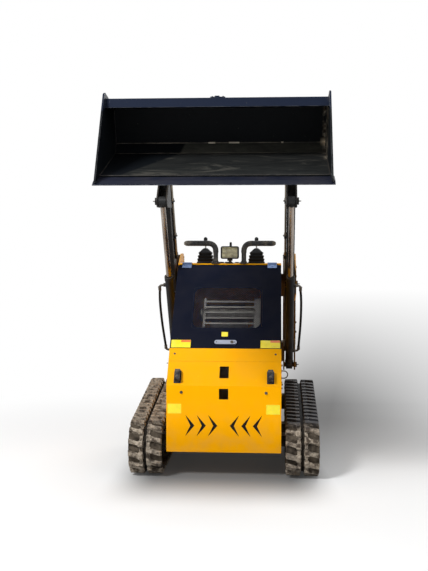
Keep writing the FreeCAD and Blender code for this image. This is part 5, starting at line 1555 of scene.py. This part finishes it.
class LOADER_OT_stage(bpy.types.Operator):
    """The camera, the pale floor and the soft studio light"""

    bl_idname = "loader.stage"
    bl_label = "Stage"

    def execute(self, context):
        scene = context.scene
        light = scene.loader_light
        data = bpy.data.cameras.new("camera")
        data.lens, data.sensor_width, data.sensor_fit = CAMERA_LENS, 36, "AUTO"
        data.clip_start, data.clip_end = 0.1, 100
        camera = link("camera", data)
        yaw, pitch, roll = (math.radians(a) for a in (CAMERA_YAW, CAMERA_PITCH, CAMERA_ROLL))
        turn = Matrix.Rotation(yaw, 3, "Z") @ Matrix.Rotation(math.pi / 2 + pitch, 3, "X")
        turn = turn @ Matrix.Rotation(roll, 3, "Z")
        camera.matrix_world = Matrix.Translation(CAMERA_PLACE) @ turn.to_4x4()
        scene.camera = camera
        self.floor(light.floor_glow)
        for name, place, size, power in (
            ("key_light", (-3.0, -4.2, 4.8), 1.3, light.key),
            ("fill_light", (4.2, -3.6, 3.0), 3.2, light.fill),
            ("rim_light", (1.5, 4.6, 4.2), 3.0, light.rim),
            ("top_light", (0.0, -0.6, 6.0), 3.0, light.top),
        ):
            lamp = bpy.data.lights.new(name, "AREA")
            lamp.energy, lamp.size = power, size
            holder = link(name, lamp)
            holder.location = place
            toward = Vector((0, 0, 0.9)) - holder.location
            holder.rotation_euler = toward.to_track_quat("-Z", "Y").to_euler()
        world = bpy.data.worlds.new("studio")
        world.use_nodes = True
        scene.world = world
        w = Wires(world.node_tree)
        w.tree.nodes.clear()
        plain = w.add("ShaderNodeBackground", {"Color": WHITE, "Strength": light.world})
        white = w.add("ShaderNodeBackground", {"Color": WHITE, "Strength": 1.0})
        mixed = w.add("ShaderNodeMixShader", {0: seen_or_mirrored(w), 1: plain, 2: white})
        w.add("ShaderNodeOutputWorld", {"Surface": mixed}, out=None)
        scene.view_settings.view_transform = "Standard"
        return {"FINISHED"}

    def floor(self, glow):
        """A wide pale floor with a dark painted shadow beneath the machine and a soft painted shadow beside it."""
        mesh = bpy.data.meshes.new("floor")
        corners = [(x * FLOOR_REACH, y * FLOOR_REACH, 0) for x, y in ((-1, -1), (1, -1), (1, 1), (-1, 1))]
        mesh.from_pydata(corners, [], [(0, 1, 2, 3)])
        floor = link("floor", mesh)
        f = Finish("studio_floor")
        x, y = f.along(SIDEWAYS), f.along(BACKWARDS)
        near = f.math("DIVIDE", 1.0, f.math("ADD", y, CAMERA_BACK))
        wide = f.times(x, near)
        # Painted shadows: darker beneath the hull, and a soft wedge beside and behind the machine's left that fades
        # with distance.
        beneath = f.times(f.soft(f.math("ABSOLUTE", x), 0.65, 0.35), f.soft(y, 1.6, 0.9), f.soft(y, -0.85, -0.20), 0.80)
        beside = f.times(f.soft(wide, -0.05, 0.08), f.band(wide, 0.32, 0.1), f.soft(y, -0.7, 1.6))
        dark = f.most(beneath, f.times(beside, f.band(near, 0.036, 0.137), 0.78))
        light = f.math("SUBTRACT", 1.0, dark)
        plain = f.mix(dark, (0.84, 0.84, 0.84, 1), (0.01, 0.01, 0.01, 1))
        shader = f.add("ShaderNodeBsdfPrincipled", {"Base Color": plain, "Roughness": 0.9})
        glowing = f.add("ShaderNodeEmission", {"Color": WHITE, "Strength": f.times(light, glow)})
        both = f.add("ShaderNodeAddShader", {0: shader, 1: glowing})
        white = f.add("ShaderNodeEmission", {"Color": WHITE, "Strength": light})
        away = f.soft(f.vector("LENGTH", f.place), 1.0, 3.0)
        faded = f.add("ShaderNodeMixShader", {0: away, 1: both, 2: white})
        mixed = f.add("ShaderNodeMixShader", {0: seen_or_mirrored(f), 1: shader, 2: faded})
        f.add("ShaderNodeOutputMaterial", {"Surface": mixed}, out=None)
        mesh.materials.append(f.material)


def seen_or_mirrored(wires):
    """1 for rays from the camera, off metal or through glass, which find the plain background."""
    path = wires.tree.nodes.new("ShaderNodeLightPath")
    share = path.outputs["Is Camera Ray"]
    for ray in ("Is Glossy Ray", "Is Transmission Ray"):
        share = wires.most(share, path.outputs[ray])
    return share


class LOADER_OT_finishes(bpy.types.Operator):
    """Paint, steel and rubber for the carried-over parts"""

    bl_idname = "loader.finishes"
    bl_label = "Finishes"

    def execute(self, context):
        FINISH.update(finishes(context.scene.loader_paint))
        TREES.update(fasteners=fastener_tree(), repeats=repeat_tree(), tread=tread_tree(), guard=guard_tree())
        for kind, names in DRESSED.items():
            for name in names:
                for node in (name, name + "_left", name + "_right"):
                    if node in NODES:
                        slots = NODES[node].data.materials
                        slots.clear()
                        slots.append(FINISH[kind])
        return {"FINISHED"}


class LoaderPaint(bpy.types.PropertyGroup):
    """The machine's paints"""

    body: bpy.props.FloatVectorProperty(
        name="Body", description="Paint of the hull and towers",
        size=4, subtype="COLOR", min=0, max=1, default=srgb(255, 176, 2),
    )
    hood: bpy.props.FloatVectorProperty(
        name="Hood", description="Paint of the hood",
        size=4, subtype="COLOR", min=0, max=1, default=srgb(17, 21, 35),
    )
    frame: bpy.props.FloatVectorProperty(
        name="Frame", description="Paint of the boom and track frames",
        size=4, subtype="COLOR", min=0, max=1, default=srgb(26, 25, 25),
    )


class LoaderTrack(bpy.types.PropertyGroup):
    """The rubber tracks' tread"""

    bars: bpy.props.IntProperty(name="Bars", description="Bars in each row of one track", default=39, min=20, max=80)
    bar_height: bpy.props.FloatProperty(
        name="Bar height", description="Height of a bar over its belt", default=0.022, min=0.01, max=0.03, unit="LENGTH"
    )


class LoaderGuard(bpy.types.PropertyGroup):
    """The perforated guard in the hood"""

    pitch: bpy.props.FloatProperty(
        name="Pitch", description="Distance between neighbouring holes",
        default=0.0095, min=0.006, max=0.03, unit="LENGTH",
    )


class LoaderLight(bpy.types.PropertyGroup):
    """The studio's lamps"""

    key: bpy.props.FloatProperty(name="Key", description="Power of the key lamp", default=370.0, min=0, unit="POWER")
    fill: bpy.props.FloatProperty(name="Fill", description="Power of the fill lamp", default=36.0, min=0, unit="POWER")
    rim: bpy.props.FloatProperty(name="Rim", description="Power of the lamp behind", default=90.0, min=0, unit="POWER")
    top: bpy.props.FloatProperty(name="Top", description="Power of the lamp above", default=40.0, min=0, unit="POWER")
    world: bpy.props.FloatProperty(name="World", description="Strength of the even light", default=0.27, min=0)
    floor_glow: bpy.props.FloatProperty(
        name="Floor glow", description="Brightness added to the seen floor", default=0.1, min=0
    )


class LOADER_PT_panel(bpy.types.Panel):
    """Builds the loader piece by piece"""

    bl_label = "Mini Track Loader"
    bl_idname = "LOADER_PT_panel"
    bl_space_type = "VIEW_3D"
    bl_region_type = "UI"
    bl_category = "Loader"

    def draw(self, context):
        for name, kind in GROUPS.items():
            box = self.layout.box()
            for setting in kind.__annotations__:
                box.prop(getattr(context.scene, name), setting)
        for operator in OPERATORS:
            self.layout.operator(operator.bl_idname)


OPERATORS = (
    LOADER_OT_stage, LOADER_OT_finishes, LOADER_OT_hoses, LOADER_OT_tracks, LOADER_OT_wheels, LOADER_OT_nose,
    LOADER_OT_hull, LOADER_OT_hood, LOADER_OT_engine, LOADER_OT_controls, LOADER_OT_platform, LOADER_OT_towers,
    LOADER_OT_boom, LOADER_OT_cylinders, LOADER_OT_bucket,
)
GROUPS = {
    "loader_paint": LoaderPaint, "loader_track": LoaderTrack, "loader_guard": LoaderGuard, "loader_light": LoaderLight,
}


def register():
    for name, group in GROUPS.items():
        bpy.utils.register_class(group)
        setattr(bpy.types.Scene, name, bpy.props.PointerProperty(type=group))
    for operator in OPERATORS:
        bpy.utils.register_class(operator)
    bpy.utils.register_class(LOADER_PT_panel)


def unregister():
    bpy.utils.unregister_class(LOADER_PT_panel)
    for operator in reversed(OPERATORS):
        bpy.utils.unregister_class(operator)
    for name, group in GROUPS.items():
        delattr(bpy.types.Scene, name)
        bpy.utils.unregister_class(group)


def main():
    register()
    for operator in OPERATORS:
        area, verb = operator.bl_idname.split(".")
        getattr(getattr(bpy.ops, area), verb)()


if __name__ == "__main__":
    main()
